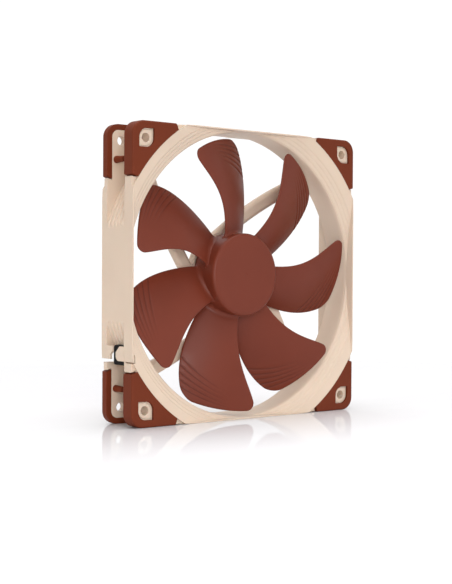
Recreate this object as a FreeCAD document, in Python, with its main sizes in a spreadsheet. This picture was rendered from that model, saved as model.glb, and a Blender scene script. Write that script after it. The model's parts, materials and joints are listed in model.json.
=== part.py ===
import FreeCAD, Part
import math
import os

import Sketcher
from FreeCAD import Placement, Rotation, Vector

# A square axial case fan, 140 mm across and 25 mm deep, for screw mounting.
# The fan's axis runs along Y through the middle of the frame. Air enters at
# the front (-Y), through the stepped bell mouth, and leaves at the back (+Y),
# where four curved struts carry the motor. Every piece is drawn about the
# axis and lifted by half the frame's side, so that the frame stands on z = 0.

os.makedirs("parts", exist_ok=True)
document = FreeCAD.newDocument("case_fan")

# ---------------------------------------------------------------- dimensions
SIZES = {
    # frame
    "side": 140.0,
    "depth": 25.0,
    "hole_pitch": 124.5,
    "hole_radius": 2.15,
    "seat_radius": 80.2,
    "seat_depth": 1.4,
    "edge_step": 2.8,
    "boss_width": 7.4,
    "boss_rise": 0.2,
    "leaf_corner": 4.3,
    "seat_corner": 3.4,
    "straight_half": 34.0,
    "waist_inset": 0.4,
    "pad_end": 45.2,
    "pad_slant": 1.1,
    "front_web": 5.5,
    "rear_web": 2.7,
    "duct_radius": 73.2,
    "ridge_rise": 0.6,
    "ridge_pitch": 3.0,
    "throat_radius": 69.2,
    "flare_radius": 76.0,
    "flare_depth": 7.5,
    "outlet_half": 69.0,
    "mouth_half": 69.4,
    "mouth_radius": 75.5,
    "mouth_depth": 1.25,
    "lip_run": 1.8,
    "lip_drop": 0.9,
    "riser_run": 0.6,
    "riser_drop": 0.55,
    "lip_edge": 0.6,
    "throat_depth": 6.0,
    # struts and motor base
    "strut_count": 4.0,
    "strut_width": 7.5,
    "strut_depth": 4.5,
    "strut_bend": 221.0,
    "strut_offset": 17.0,
    "strut_reach": 76.5,
    "strut_turn": 38.6,
    "base_radius": 21.3,
    "base_wall": 1.4,
    "base_front": 7.2,
    "base_back": 12.1,
    "base_floor": 9.6,
    "collar_radius": 6.4,
    # impeller
    "hub_radius": 20.3,
    "hub_wall": 1.4,
    "hub_front": 9.0,
    "hub_rear": 6.6,
    "hub_face": 1.6,
    "hub_round": 1.9,
    "tip_radius": 66.8,
    "tip_round": 5.0,
    "blade_count": 7.0,
    "blade_thick": 1.9,
    "blade_edge": 0.7,
    "blade_camber": 0.3,
    "root_flare": 2.4,
    # rotor inner pieces
    "yoke_wall": 1.0,
    "yoke_rear": 6.2,
    "magnet_wall": 1.6,
    "magnet_front": 5.2,
    "magnet_rear": 5.8,
    "shaft_radius": 1.5,
    "shaft_rear": 8.9,
    "clip_seat": 7.9,
    "clip_slot": 0.4,
    "clip_radius": 2.7,
    "groove_radius": 1.15,
    "bush_radius": 3.2,
    "bush_flange": 5.0,
    # bearing
    "bearing_clearance": 0.02,
    "sleeve_radius": 3.4,
    "sleeve_front": 4.2,
    "sleeve_rear": 7.2,
    "tube_radius": 4.6,
    "tube_front": 4.6,
    "tube_rear": 10.6,
    "tube_floor": 9.6,
    # stator and board
    "core_radius": 15.8,
    "core_half": 3.5,
    "core_ring": 7.4,
    "tooth_half": 2.4,
    "shoe_radius": 13.2,
    "slot_mouth": 1.3,
    "liner": 0.8,
    "coil_start": 7.9,
    "coil_end": 12.0,
    "coil_wide": 4.2,
    "coil_high": 5.9,
    "board_radius": 18.6,
    "board_front": 7.0,
    "board_thick": 1.2,
    # corner pads
    "pad_corner": 6.3,
    "front_rim": 7.1,
    "rear_rim": 4.1,
    "cutout_gap": 0.6,
    "pad_round": 0.9,
    "peg_far": 64.8,
    "peg_near": 53.4,
    "peg_radius": 1.45,
    "peg_hole": 1.5,
    "barb_radius": 1.72,
    "barb_tail": 1.3,
    "barb_length": 6.4,
    # cable outlet, on the left side near the lower rear corner
    "outlet_low": -41.0,
    "outlet_slot": 1.8,
    "outlet_high": -36.2,
    "outlet_top": -33.0,
    "outlet_deep": 8.0,
    "tab_front": 5.5,
    "tab_thick": 1.2,
    "slit": 1.9,
    "latch_slit": 0.6,
    "gland_front": -4.6,
    "gland_rear": 3.4,
    "gland_low": -41.8,
    "gland_high": -32.6,
    "gland_inner": -62.9,
    "gland_outer": -69.3,
    "lead_radius": 1.7,
    # label
    "label_radius": 17.2,
    "label_recess": 0.4,
    "label_thick": 0.25,
}

sheet = document.addObject("Spreadsheet::Sheet", "Sizes")
for row, (alias, value) in enumerate(SIZES.items(), start=1):
    sheet.set("A%d" % row, alias)
    sheet.set("B%d" % row, str(value))
    sheet.setAlias("B%d" % row, alias)
document.recompute()


def size(expression):
    """Return the value of an expression written with the sheet's names."""
    value = sheet.evalExpression(expression)
    return float(getattr(value, "Value", value))


def lift(target):
    """Raise a finished piece from the axis frame to the standing frame."""
    target.setExpression("Placement.Base.z", "Sizes.side / 2")


# ------------------------------------------------------------ sketch helpers
def new_body(label):
    body = document.addObject("PartDesign::Body", "Body")
    body.Label = label
    return body


def origin_item(body, role):
    for item in body.Origin.OriginFeatures:
        if item.Role == role:
            return item
    raise ValueError(role)


def new_sketch(body, name, role):
    sketch = body.newObject("Sketcher::SketchObject", name)
    sketch.AttachmentSupport = (origin_item(body, role), [""])
    sketch.MapMode = "FlatFace"
    return sketch


def pin(sketch, geometry, point, axis, expression):
    """Hold one coordinate of a sketch point at a bound distance from the origin."""
    if expression == "0":
        line = -2 if axis == "X" else -1
        sketch.addConstraint(Sketcher.Constraint("PointOnObject", geometry, point, line))
        return
    constraint = Sketcher.Constraint("Distance" + axis, -1, 1, geometry, point, size(expression))
    index = sketch.addConstraint(constraint)
    sketch.setExpression("Constraints[%d]" % index, expression)


def polygon(body, name, role, corners):
    """Sketch a closed polygon whose corners are pairs of bound expressions."""
    sketch = new_sketch(body, name, role)
    points = [Vector(size(x), size(y), 0) for x, y in corners]
    count = len(points)
    for index, point in enumerate(points):
        sketch.addGeometry(Part.LineSegment(point, points[(index + 1) % count]), False)
    for index in range(count):
        sketch.addConstraint(Sketcher.Constraint("Coincident", index, 2, (index + 1) % count, 1))
    for index, (x, y) in enumerate(corners):
        pin(sketch, index, 1, "X", x)
        pin(sketch, index, 1, "Y", y)
    return sketch


def circles(body, name, role, centres, radius):
    """Sketch equal circles at bound centres."""
    sketch = new_sketch(body, name, role)
    for index, (x, y) in enumerate(centres):
        centre = Vector(size(x), size(y), 0)
        sketch.addGeometry(Part.Circle(centre, Vector(0, 0, 1), size(radius)), False)
        pin(sketch, index, 3, "X", x)
        pin(sketch, index, 3, "Y", y)
        constraint = Sketcher.Constraint("Radius", index, size(radius))
        number = sketch.addConstraint(constraint)
        sketch.setExpression("Constraints[%d]" % number, radius)
    return sketch


def turn(body, name, corners):
    """Revolve a (radius, y) polygon about the fan's axis."""
    sketch = polygon(body, name + "_profile", "XY_Plane", corners)
    feature = body.newObject("PartDesign::Revolution", name)
    feature.Profile = sketch
    feature.ReferenceAxis = (sketch, ["V_Axis"])
    feature.Angle = 360.0
    document.recompute()
    return feature


def groove(body, name, corners):
    """Cut a revolved (radius, y) polygon and make sure that it removed something."""
    before = body.Shape.Volume
    sketch = polygon(body, name + "_profile", "XY_Plane", corners)
    feature = body.newObject("PartDesign::Groove", name)
    feature.Profile = sketch
    feature.ReferenceAxis = (sketch, ["V_Axis"])
    feature.Angle = 360.0
    document.recompute()
    assert body.Shape.Volume < before - 0.01, name
    return feature


def slab(body, name, sketch, front, back):
    """Pad an XZ sketch between two depths; the sketch plane faces -Y."""
    sketch.setExpression("AttachmentOffset.Base.z", "-(%s)" % back)
    feature = body.newObject("PartDesign::Pad", name)
    feature.Profile = sketch
    feature.setExpression("Length", "(%s) - (%s)" % (back, front))
    document.recompute()
    return feature


def cut_slab(body, name, sketch, front, back):
    """Pocket an XZ sketch between two depths and check the volume removed."""
    before = body.Shape.Volume
    sketch.setExpression("AttachmentOffset.Base.z", "-(%s)" % front)
    feature = body.newObject("PartDesign::Pocket", name)
    feature.Profile = sketch
    feature.setExpression("Length", "(%s) - (%s)" % (back, front))
    document.recompute()
    assert body.Shape.Volume < before - 0.01, name
    return feature


def polar(body, name, original, axis, count):
    """Repeat a feature about one of the body's axes."""
    pattern = body.newObject("PartDesign::PolarPattern", name)
    pattern.Originals = [original]
    pattern.Axis = (origin_item(body, axis), [""])
    pattern.Angle = 360.0
    pattern.setExpression("Occurrences", count)
    body.Tip = pattern
    document.recompute()
    return pattern


def round_edges(body, name, base, radius, chosen):
    """Fillet the edges of a feature for which chosen(edge) is true."""
    names = ["Edge%d" % (number + 1) for number, edge in enumerate(base.Shape.Edges) if chosen(edge)]
    assert names, name
    fillet = body.newObject("PartDesign::Fillet", name)
    fillet.Base = (base, names)
    fillet.setExpression("Radius", radius)
    body.Tip = fillet
    document.recompute()
    return fillet


def along_axis(edge):
    """True for a straight edge parallel to the fan's axis."""
    return (edge.Curve.TypeId == "Part::GeomLine"
            and abs(abs(edge.tangentAt(edge.FirstParameter).y) - 1) < 1e-6)


def corner_square(half_low, half_high):
    """Return the four corners of a square in the upper right quadrant."""
    return [(half_low, half_low), (half_high, half_low), (half_high, half_high), (half_low, half_high)]


# --------------------------------------------------------------- fan housing
FRONT = "-Sizes.depth / 2"
BACK = "Sizes.depth / 2"
FRONT_SEAT = "-Sizes.depth / 2 + Sizes.seat_depth"
BACK_SEAT = "Sizes.depth / 2 - Sizes.seat_depth"
FRONT_WEB = "-Sizes.depth / 2 + Sizes.seat_depth + Sizes.front_web"
BACK_WEB = "Sizes.depth / 2 - Sizes.seat_depth - Sizes.rear_web"
HALF = "Sizes.side / 2"
SEAT_HALF = "(Sizes.side / 2 - Sizes.edge_step)"
WAIST_HALF = "(Sizes.side / 2 - Sizes.waist_inset)"
WAIST_END = "(Sizes.pad_end - Sizes.pad_slant * 0.6)"
SEAT_END = "(Sizes.pad_end - Sizes.pad_slant - 0.3)"


def frame_outline():
    """Corners of the frame seen along the axis, one side after another."""
    side = [
        (HALF, "-Sizes.straight_half"),
        (HALF, "Sizes.straight_half"),
        (WAIST_HALF, WAIST_END),
        (SEAT_HALF, SEAT_END),
        (SEAT_HALF, SEAT_HALF),
        (SEAT_END, SEAT_HALF),
        (WAIST_END, WAIST_HALF),
    ]
    corners = []
    for turn_number in range(4):
        for x, z in side:
            if turn_number == 0:
                corners.append((x, z))
            elif turn_number == 1:
                corners.append(("-(%s)" % z, x))
            elif turn_number == 2:
                corners.append(("-(%s)" % x, "-(%s)" % z))
            else:
                corners.append((z, "-(%s)" % x))
    return corners


shell = new_body("frame_shell")
outline = polygon(shell, "frame_plan", "XZ_Plane", frame_outline())
block = slab(shell, "frame_block", outline, FRONT, BACK)


def seat_corner(edge):
    """True for the four upright corners that the pads wrap around."""
    point = edge.CenterOfMass
    limit = size(SEAT_HALF) - 0.01
    return along_axis(edge) and abs(point.x) > limit and abs(point.z) > limit


round_edges(shell, "seat_corners", block, "Sizes.seat_corner", seat_corner)

# The pad seats: outside the circular rim both faces lie one pad lower.
FAR = "Sizes.side"
groove(shell, "front_seats", [
    ("Sizes.seat_radius", "-Sizes.depth"), (FAR, "-Sizes.depth"),
    (FAR, FRONT_SEAT), ("Sizes.seat_radius", FRONT_SEAT)])
groove(shell, "rear_seats", [
    ("Sizes.seat_radius", "Sizes.depth"), (FAR, "Sizes.depth"),
    (FAR, BACK_SEAT), ("Sizes.seat_radius", BACK_SEAT)])

# The waist between the two corner webs; its floor is the ridged duct wall.
waist = [(FAR, FRONT_WEB), (FAR, BACK_WEB), ("Sizes.duct_radius + Sizes.ridge_rise", BACK_WEB)]
for number in range(4):
    step = "%s - Sizes.ridge_pitch * %d" % (BACK_WEB, number)
    waist.append(("Sizes.duct_radius + Sizes.ridge_rise", "%s - Sizes.ridge_pitch * 0.45" % step))
    waist.append(("Sizes.duct_radius", "%s - Sizes.ridge_pitch * 0.55" % step))
    waist.append(("Sizes.duct_radius", "%s - Sizes.ridge_pitch * 0.8" % step))
    waist.append(("Sizes.duct_radius + Sizes.ridge_rise", "%s - Sizes.ridge_pitch" % step))
waist.append(("Sizes.duct_radius", FRONT_WEB))
groove(shell, "waist", waist)

# The bore: a conical mouth, three shallow lips stepping inwards, then the throat.
bore_corners = [
    ("0", FRONT),
    ("Sizes.seat_radius", FRONT),
    ("Sizes.mouth_radius", "-Sizes.depth / 2 + Sizes.mouth_depth"),
]
for number in range(3):
    radius = "Sizes.mouth_radius - Sizes.lip_run * %d" % number
    level = "-Sizes.depth / 2 + Sizes.mouth_depth + Sizes.lip_drop * %d" % number
    bore_corners.append((radius + " - Sizes.riser_run", level + " + Sizes.riser_drop"))
    bore_corners.append((radius + " - Sizes.lip_run", level + " + Sizes.lip_drop"))
lip_radius = "Sizes.mouth_radius - Sizes.lip_run * 3"
lip_level = "-Sizes.depth / 2 + Sizes.mouth_depth + Sizes.lip_drop * 3"
bore_corners.append((lip_radius + " - Sizes.lip_edge", lip_level + " + Sizes.lip_edge"))
bore_corners.append(("Sizes.throat_radius", "-Sizes.depth / 2 + Sizes.throat_depth"))
bore_corners.append(("Sizes.throat_radius", BACK))
bore_corners.append(("0", BACK))
bore = new_body("bore")
turn(bore, "bore_turned", bore_corners)

# Screw bosses: leaf-shaped faces that stand a little proud of the seats.
BOSS_LOW = "Sizes.hole_pitch / 2 - Sizes.boss_width / 2"
BOSS_HIGH = "Sizes.hole_pitch / 2 + Sizes.boss_width / 2"


def leaf_corner(low, high):
    """Choose the two upright corners of a leaf that lie on the diagonal."""
    def chosen(edge):
        point = edge.CenterOfMass
        inner = abs(point.x - low) < 0.01 and abs(point.z - low) < 0.01
        outer = abs(point.x - high) < 0.01 and abs(point.z - high) < 0.01
        return along_axis(edge) and (inner or outer)
    return chosen


def leaf(label, low, high, front, back):
    """A leaf-shaped prism: a square with two opposite corners rounded."""
    body = new_body(label)
    sketch = polygon(body, label + "_plan", "XZ_Plane", corner_square(low, high))
    pad = slab(body, label + "_block", sketch, front, back)
    round_edges(body, label + "_rounds", pad, "Sizes.leaf_corner", leaf_corner(size(low), size(high)))
    return body


def quarter_turn(target, number):
    """Turn a piece about the fan's axis by whole quarters."""
    target.Placement = Placement(Vector(0, 0, 0), Rotation(Vector(0, 1, 0), -90.0 * number))


bosses = []
for corner_number in range(4):
    for face in ("front", "rear"):
        name = "%s_boss_%d" % (face, corner_number)
        if face == "front":
            boss = leaf(name, BOSS_LOW, BOSS_HIGH, FRONT_SEAT + " - Sizes.boss_rise", FRONT_SEAT + " + 0.5")
        else:
            boss = leaf(name, BOSS_LOW, BOSS_HIGH, BACK_SEAT + " - 0.5", BACK_SEAT + " + Sizes.boss_rise")
        quarter_turn(boss, corner_number)
        bosses.append(boss)

# The spider: the shallow cup that holds the motor and four curved struts.
spider = new_body("spider")
turn(spider, "motor_base", [
    ("0", "Sizes.base_back - Sizes.label_recess"),
    ("Sizes.label_radius + 0.2", "Sizes.base_back - Sizes.label_recess"),
    ("Sizes.label_radius + 0.2", "Sizes.base_back"),
    ("Sizes.base_radius - 0.8", "Sizes.base_back"),
    ("Sizes.base_radius", "Sizes.base_back - 0.8"),
    ("Sizes.base_radius", "Sizes.base_front"),
    ("Sizes.base_radius - Sizes.base_wall", "Sizes.base_front"),
    ("Sizes.base_radius - Sizes.base_wall", "Sizes.base_floor"),
    ("Sizes.collar_radius", "Sizes.base_floor"),
    ("Sizes.collar_radius", "Sizes.board_front + Sizes.board_thick"),
    ("Sizes.tube_radius", "Sizes.board_front + Sizes.board_thick"),
    ("Sizes.tube_radius", "Sizes.tube_rear"),
    ("0", "Sizes.tube_rear"),
])

# Each strut is a flat bar with round edges that follows one long arc.
STRUT_LEVEL = "(Sizes.base_back - 0.3 - Sizes.strut_depth / 2)"
spine = new_sketch(spider, "strut_spine", "XZ_Plane")
bend = size("Sizes.strut_bend")
offset = size("Sizes.strut_offset")
sweep_angle = math.asin(size("Sizes.strut_reach") / bend)
arc_centre = Vector(0, offset - bend, 0)
circle = Part.Circle(arc_centre, Vector(0, 0, 1), bend)
spine.addGeometry(Part.ArcOfCircle(circle, math.pi / 2 - sweep_angle, math.pi / 2), False)
pin(spine, 0, 3, "X", "0")
pin(spine, 0, 3, "Y", "Sizes.strut_offset - Sizes.strut_bend")
pin(spine, 0, 2, "X", "0")
pin(spine, 0, 1, "X", "Sizes.strut_reach")
bend_index = spine.addConstraint(Sketcher.Constraint("Radius", 0, bend))
spine.setExpression("Constraints[%d]" % bend_index, "Sizes.strut_bend")
spine.setExpression("AttachmentOffset.Base.z", "-" + STRUT_LEVEL)

section = new_sketch(spider, "strut_section", "YZ_Plane")
edge_radius = size("Sizes.strut_depth") / 2
half_width = size("Sizes.strut_width") / 2 - edge_radius
level = size(STRUT_LEVEL)
for number, (height, start) in enumerate(((offset + half_width, 0.0), (offset - half_width, math.pi))):
    rim = Part.Circle(Vector(level, height, 0), Vector(0, 0, 1), edge_radius)
    section.addGeometry(Part.ArcOfCircle(rim, start, start + math.pi), False)
right_top = Vector(level + edge_radius, offset + half_width, 0)
right_low = Vector(level + edge_radius, offset - half_width, 0)
left_top = Vector(level - edge_radius, offset + half_width, 0)
left_low = Vector(level - edge_radius, offset - half_width, 0)
section.addGeometry(Part.LineSegment(left_top, left_low), False)
section.addGeometry(Part.LineSegment(right_low, right_top), False)
section.addConstraint(Sketcher.Constraint("Tangent", 0, 2, 2, 1))
section.addConstraint(Sketcher.Constraint("Tangent", 2, 2, 1, 1))
section.addConstraint(Sketcher.Constraint("Tangent", 1, 2, 3, 1))
section.addConstraint(Sketcher.Constraint("Tangent", 3, 2, 0, 1))
pin(section, 0, 3, "X", STRUT_LEVEL)
pin(section, 1, 3, "X", STRUT_LEVEL)
pin(section, 0, 3, "Y", "Sizes.strut_offset + Sizes.strut_width / 2 - Sizes.strut_depth / 2")
pin(section, 1, 3, "Y", "Sizes.strut_offset - Sizes.strut_width / 2 + Sizes.strut_depth / 2")
rim_index = section.addConstraint(Sketcher.Constraint("Radius", 0, edge_radius))
section.setExpression("Constraints[%d]" % rim_index, "Sizes.strut_depth / 2")

strut = spider.newObject("PartDesign::AdditivePipe", "strut")
strut.Profile = section
strut.Spine = (spine, ["Edge1"])
document.recompute()
polar(spider, "struts", strut, "Y_Axis", "Sizes.strut_count")
# The cavity for the board is cleared again where the bars cross it.
groove(spider, "motor_cavity", [
    ("Sizes.collar_radius", "Sizes.board_front - 2"),
    ("Sizes.base_radius - Sizes.base_wall", "Sizes.board_front - 2"),
    ("Sizes.base_radius - Sizes.base_wall", "Sizes.base_floor"),
    ("Sizes.collar_radius", "Sizes.base_floor")])
# So is the round recess for the label on the outlet side.
groove(spider, "label_seat", [
    ("0", "Sizes.base_back - Sizes.label_recess"),
    ("Sizes.label_radius + 0.2", "Sizes.base_back - Sizes.label_recess"),
    ("Sizes.label_radius + 0.2", "Sizes.base_back + 1"),
    ("0", "Sizes.base_back + 1")])
spider.Placement = Placement(Vector(0, 0, 0), Rotation(Vector(0, 1, 0), -size("Sizes.strut_turn")))


def box(label, low, high):
    """A Part box between two corners given as bound expressions."""
    item = document.addObject("Part::Box", "Box")
    item.Label = label
    for name, near, far in zip(("Length", "Width", "Height"), low, high):
        item.setExpression(name, "(%s) - (%s)" % (far, near))
    for name, near in zip("xyz", low):
        item.setExpression("Placement.Base." + name, near)
    return item


def rod(label, radius, front, back, x="0", z="0"):
    """A Part cylinder parallel to the fan's axis."""
    item = document.addObject("Part::Cylinder", "Cylinder")
    item.Label = label
    item.Placement = Placement(Vector(0, 0, 0), Rotation(Vector(1, 0, 0), -90))
    item.setExpression("Radius", radius)
    item.setExpression("Height", "(%s) - (%s)" % (back, front))
    item.setExpression("Placement.Base.x", x)
    item.setExpression("Placement.Base.y", front)
    item.setExpression("Placement.Base.z", z)
    return item


def cone(label, front_radius, back_radius, front, back, x="0", z="0"):
    """A Part cone parallel to the fan's axis."""
    item = document.addObject("Part::Cone", "Cone")
    item.Label = label
    item.Placement = Placement(Vector(0, 0, 0), Rotation(Vector(1, 0, 0), -90))
    item.setExpression("Radius1", front_radius)
    item.setExpression("Radius2", back_radius)
    item.setExpression("Height", "(%s) - (%s)" % (back, front))
    item.setExpression("Placement.Base.x", x)
    item.setExpression("Placement.Base.y", front)
    item.setExpression("Placement.Base.z", z)
    return item


def fuse(label, pieces):
    item = document.addObject("Part::MultiFuse", "Fusion")
    item.Label = label
    item.Shapes = pieces
    item.Refine = True
    return item


def cut(label, base, tool):
    item = document.addObject("Part::Cut", "Cut")
    item.Label = label
    item.Base = base
    item.Tool = tool
    item.Refine = True
    return item


def common(label, first, second):
    item = document.addObject("Part::MultiCommon", "Common")
    item.Label = label
    item.Shapes = [first, second]
    return item


# The mouth and the flared outlet are both cut off straight at the four sides,
# where only thin walls are left between the bore and the outside.
mouth_box = box("mouth_box", ("-Sizes.mouth_half", "-Sizes.depth", "-Sizes.mouth_half"),
                ("Sizes.mouth_half", "Sizes.depth", "Sizes.mouth_half"))
mouth = common("mouth", bore, mouth_box)
flare_cone = cone("flare_cone", "Sizes.throat_radius", "Sizes.flare_radius",
                  "Sizes.depth / 2 - Sizes.flare_depth", BACK)
flare_box = box("flare_box", ("-Sizes.outlet_half", "0", "-Sizes.outlet_half"),
                ("Sizes.outlet_half", "Sizes.depth", "Sizes.outlet_half"))
flare = common("flare", flare_cone, flare_box)

# Screw holes and the holes for the pads' pegs, in both webs.
drills = []
for sign_x in ("", "-"):
    for sign_z in ("", "-"):
        drills.append(rod("screw_hole", "Sizes.hole_radius", "-Sizes.depth", "Sizes.depth",
                          sign_x + "Sizes.hole_pitch / 2", sign_z + "Sizes.hole_pitch / 2"))
        for far_x in (True, False):
            x = sign_x + ("Sizes.peg_far" if far_x else "Sizes.peg_near")
            z = sign_z + ("Sizes.peg_near" if far_x else "Sizes.peg_far")
            drills.append(rod("peg_hole", "Sizes.peg_hole", "-Sizes.depth", "Sizes.depth", x, z))

# The cable outlet: a level slot in from the rear face that turns up behind a
# tab, and a hook that holds the gland from outside.
OUTSIDE = "-Sizes.side / 2 - 1"
INNER_SIDE = "-Sizes.side / 2 + Sizes.outlet_deep"
TAB_INSIDE = "-Sizes.side / 2 + Sizes.tab_thick"
SLOT_TOP = "Sizes.outlet_low + Sizes.outlet_slot"
slot = box("outlet_slot", (OUTSIDE, "Sizes.tab_front - Sizes.slit", "Sizes.outlet_low"),
           (INNER_SIDE, "Sizes.depth", SLOT_TOP))
passage = box("outlet_passage", (TAB_INSIDE, "Sizes.tab_front - Sizes.slit", "Sizes.outlet_low"),
              (INNER_SIDE, "Sizes.depth", "Sizes.outlet_high"))


def side_slab(label, corners, outer, inner):
    """A slab that lies in the left side, drawn as a (y, z) polygon."""
    body = new_body(label)
    sketch = polygon(body, label + "_plan", "YZ_Plane", corners)
    sketch.setExpression("AttachmentOffset.Base.z", outer)
    pad = body.newObject("PartDesign::Pad", label + "_pad")
    pad.Profile = sketch
    pad.setExpression("Length", "(%s) - (%s)" % (inner, outer))
    document.recompute()
    return body


tab = side_slab("outlet_tab", [
    (BACK_WEB + " + 0.2", "Sizes.outlet_top"), ("Sizes.tab_front - 2", "Sizes.outlet_top"),
    ("Sizes.tab_front - 2", "Sizes.outlet_high + 1"), ("Sizes.tab_front - 1", "Sizes.outlet_high"),
    ("Sizes.tab_front", "Sizes.outlet_high - 0.8"), ("Sizes.tab_front", SLOT_TOP),
    (BACK_WEB + " + 0.2", SLOT_TOP)], "-Sizes.side / 2", TAB_INSIDE)
hook = side_slab("gland_hook", [
    (FRONT_WEB + " - 0.2", "Sizes.outlet_top"), ("-2.2", "Sizes.outlet_top"),
    ("0.9", "Sizes.outlet_high + 0.4"), ("0.9", "Sizes.outlet_high - 2"),
    ("-0.6", SLOT_TOP + " - 0.6"), (FRONT_WEB + " - 0.2", SLOT_TOP + " - 0.6")],
    "-Sizes.side / 2", "Sizes.gland_outer - 0.05")

# Two fine slits in the front web free a springy latch beside the outlet.
side_latch = box("latch_slit_side", (OUTSIDE, "-Sizes.depth", "Sizes.outlet_low + 0.5"),
                 ("-Sizes.side / 2 + 2", "-Sizes.depth / 2 + 6",
                  "Sizes.outlet_low + 0.5 + Sizes.latch_slit"))
face_latch = box("latch_slit_front", ("-Sizes.side / 2 + 2 - Sizes.latch_slit", "-Sizes.depth",
                                      "Sizes.outlet_low + 0.5"),
                 ("-Sizes.side / 2 + 2", "-Sizes.depth / 2 + 3", "Sizes.outlet_high - 0.3"))

openings = fuse("frame_openings", [mouth, flare, slot, passage, side_latch, face_latch] + drills)
casing = cut("frame_casing", fuse("frame_blank", [shell, tab, hook] + bosses), openings)
frame = fuse("frame", [casing, spider])
lift(frame)

# ------------------------------------------------------------------ impeller
hub = new_body("hub")
hub_cup = turn(hub, "hub_cup", [
    ("0", "-Sizes.hub_front"),
    ("Sizes.hub_radius", "-Sizes.hub_front"),
    ("Sizes.hub_radius", "Sizes.hub_rear"),
    ("Sizes.hub_radius - Sizes.hub_wall", "Sizes.hub_rear"),
    ("Sizes.hub_radius - Sizes.hub_wall", "-Sizes.hub_front + Sizes.hub_face"),
    ("0", "-Sizes.hub_front + Sizes.hub_face"),
])


def hub_front_edge(edge):
    """True for the outer front edge of the hub."""
    if edge.Curve.TypeId != "Part::GeomCircle":
        return False
    wide = abs(edge.Curve.Radius - size("Sizes.hub_radius")) < 1e-6
    return wide and abs(edge.Curve.Center.y + size("Sizes.hub_front")) < 1e-6


round_edges(hub, "hub_front_round", hub_cup, "Sizes.hub_round", hub_front_edge)


def cubic(coefficients, share):
    """Value of a cubic in the share of the blade's height, 0 at the hub."""
    return sum(value * share ** power for power, value in enumerate(coefficients))


# The two long edges of a blade: angle in degrees and depth in millimetres.
LEADING_ANGLE = (115.3, -36.1, 83.3, -42.4)
LEADING_DEPTH = (-3.0, -13.0, 5.6, 0.0)
TRAILING_ANGLE = (65.7, 29.3, -23.2, 17.3)
TRAILING_DEPTH = (5.0, 1.7, 2.0, -6.1)


def blade_point(radius, across):
    """A point of the blade's middle surface; across is 0 at the leading edge."""
    hub_r = size("Sizes.hub_radius")
    share = (radius - hub_r) / (size("Sizes.tip_radius") - hub_r)
    angle_0 = cubic(LEADING_ANGLE, share)
    angle_1 = cubic(TRAILING_ANGLE, share)
    depth_0 = cubic(LEADING_DEPTH, share)
    depth_1 = cubic(TRAILING_DEPTH, share)
    bow = across - size("Sizes.blade_camber") * across * (1 - across)
    angle = math.radians(angle_0 + (angle_1 - angle_0) * across)
    depth = depth_0 + (depth_1 - depth_0) * bow
    return Vector(radius * math.cos(angle), depth, radius * math.sin(angle))


def blade_normal(radius, across):
    """Unit normal of the middle surface, pointing towards the front."""
    step_r = blade_point(radius + 0.05, across) - blade_point(radius - 0.05, across)
    step_a = blade_point(radius, across + 0.005) - blade_point(radius, across - 0.005)
    normal = step_r.cross(step_a)
    normal.normalize()
    return normal if normal.y < 0 else normal * -1


def blade_rows():
    """Radii of the rows of points and how far each row stops from the edges."""
    hub_r = size("Sizes.hub_radius")
    tip_r = size("Sizes.tip_radius")
    corner = size("Sizes.tip_round")
    rows = [(hub_r - 0.7, 0.0)]
    rows += [(hub_r + rise, 0.0) for rise in (0.0, 0.6, 1.3, 2.1, 3.2, 5.0)]
    straight = tip_r - corner - hub_r
    rows += [(hub_r + straight * number / 8, 0.0) for number in range(2, 8)]
    for number in range(0, 7):
        turn_angle = math.radians(90 * number / 6)
        rows.append((tip_r - corner * (1 - math.sin(turn_angle)), corner * (1 - math.cos(turn_angle))))
    return rows


def blade_thickness(radius, across):
    """Full at mid chord, thin at the edges and thicker at the root."""
    rise = radius - size("Sizes.hub_radius")
    flare_here = size("Sizes.root_flare") * max(0.0, 1 - max(rise, 0.0) / 2.6) ** 2
    edge = size("Sizes.blade_edge")
    full = size("Sizes.blade_thick") * (1 - 0.25 * rise / size("Sizes.tip_radius"))
    return edge + (full - edge) * (4 * across * (1 - across)) ** 0.6 + flare_here


def blade_solid():
    """One blade between its front and rear surfaces."""
    columns = 13
    grids = {1: [], -1: []}
    for radius, inset in blade_rows():
        chord = (blade_point(radius, 1.0) - blade_point(radius, 0.0)).Length
        margin = inset / chord
        for side_sign in grids:
            row_points = []
            for column in range(columns):
                share = (1 - math.cos(math.pi * column / (columns - 1))) / 2
                across = margin + (1 - 2 * margin) * share
                shift = blade_normal(radius, across) * (blade_thickness(radius, across) / 2 * side_sign)
                row_points.append(blade_point(radius, across) + shift)
            grids[side_sign].append(row_points)
    skins = []
    for points in grids.values():
        surface = Part.BSplineSurface()
        surface.interpolate(points)
        skins.append(surface)
    faces = [surface.toShape() for surface in skins]
    for edge_a, edge_b in zip(matching_edges(skins[0]), matching_edges(skins[1])):
        faces.append(Part.makeRuledSurface(edge_a, edge_b))
    shape = Part.makeSolid(Part.makeShell(sewn(faces)))
    if shape.Volume < 0:
        shape.reverse()
    return shape


def matching_edges(surface):
    """The four boundary curves of a surface as edges, in a fixed order."""
    u_low, u_high, v_low, v_high = surface.bounds()
    curves = [surface.uIso(u_low), surface.uIso(u_high), surface.vIso(v_low), surface.vIso(v_high)]
    return [curve.toShape() for curve in curves]


def sewn(faces):
    """Join faces that share edges and return them as one set."""
    compound = Part.makeCompound(faces)
    compound.sewShape(1e-4)
    return compound.Faces


single = blade_solid()
blades = []
for number in range(int(size("Sizes.blade_count"))):
    blade = document.addObject("Part::Feature", "Blade")
    blade.Label = "blade_%d" % number
    blade.Shape = single.copy()
    turn_by = -360.0 * number / size("Sizes.blade_count")
    blade.Placement = Placement(Vector(0, 0, 0), Rotation(Vector(0, 1, 0), turn_by))
    blades.append(blade)
impeller = fuse("impeller", [hub] + blades)
lift(impeller)

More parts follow.
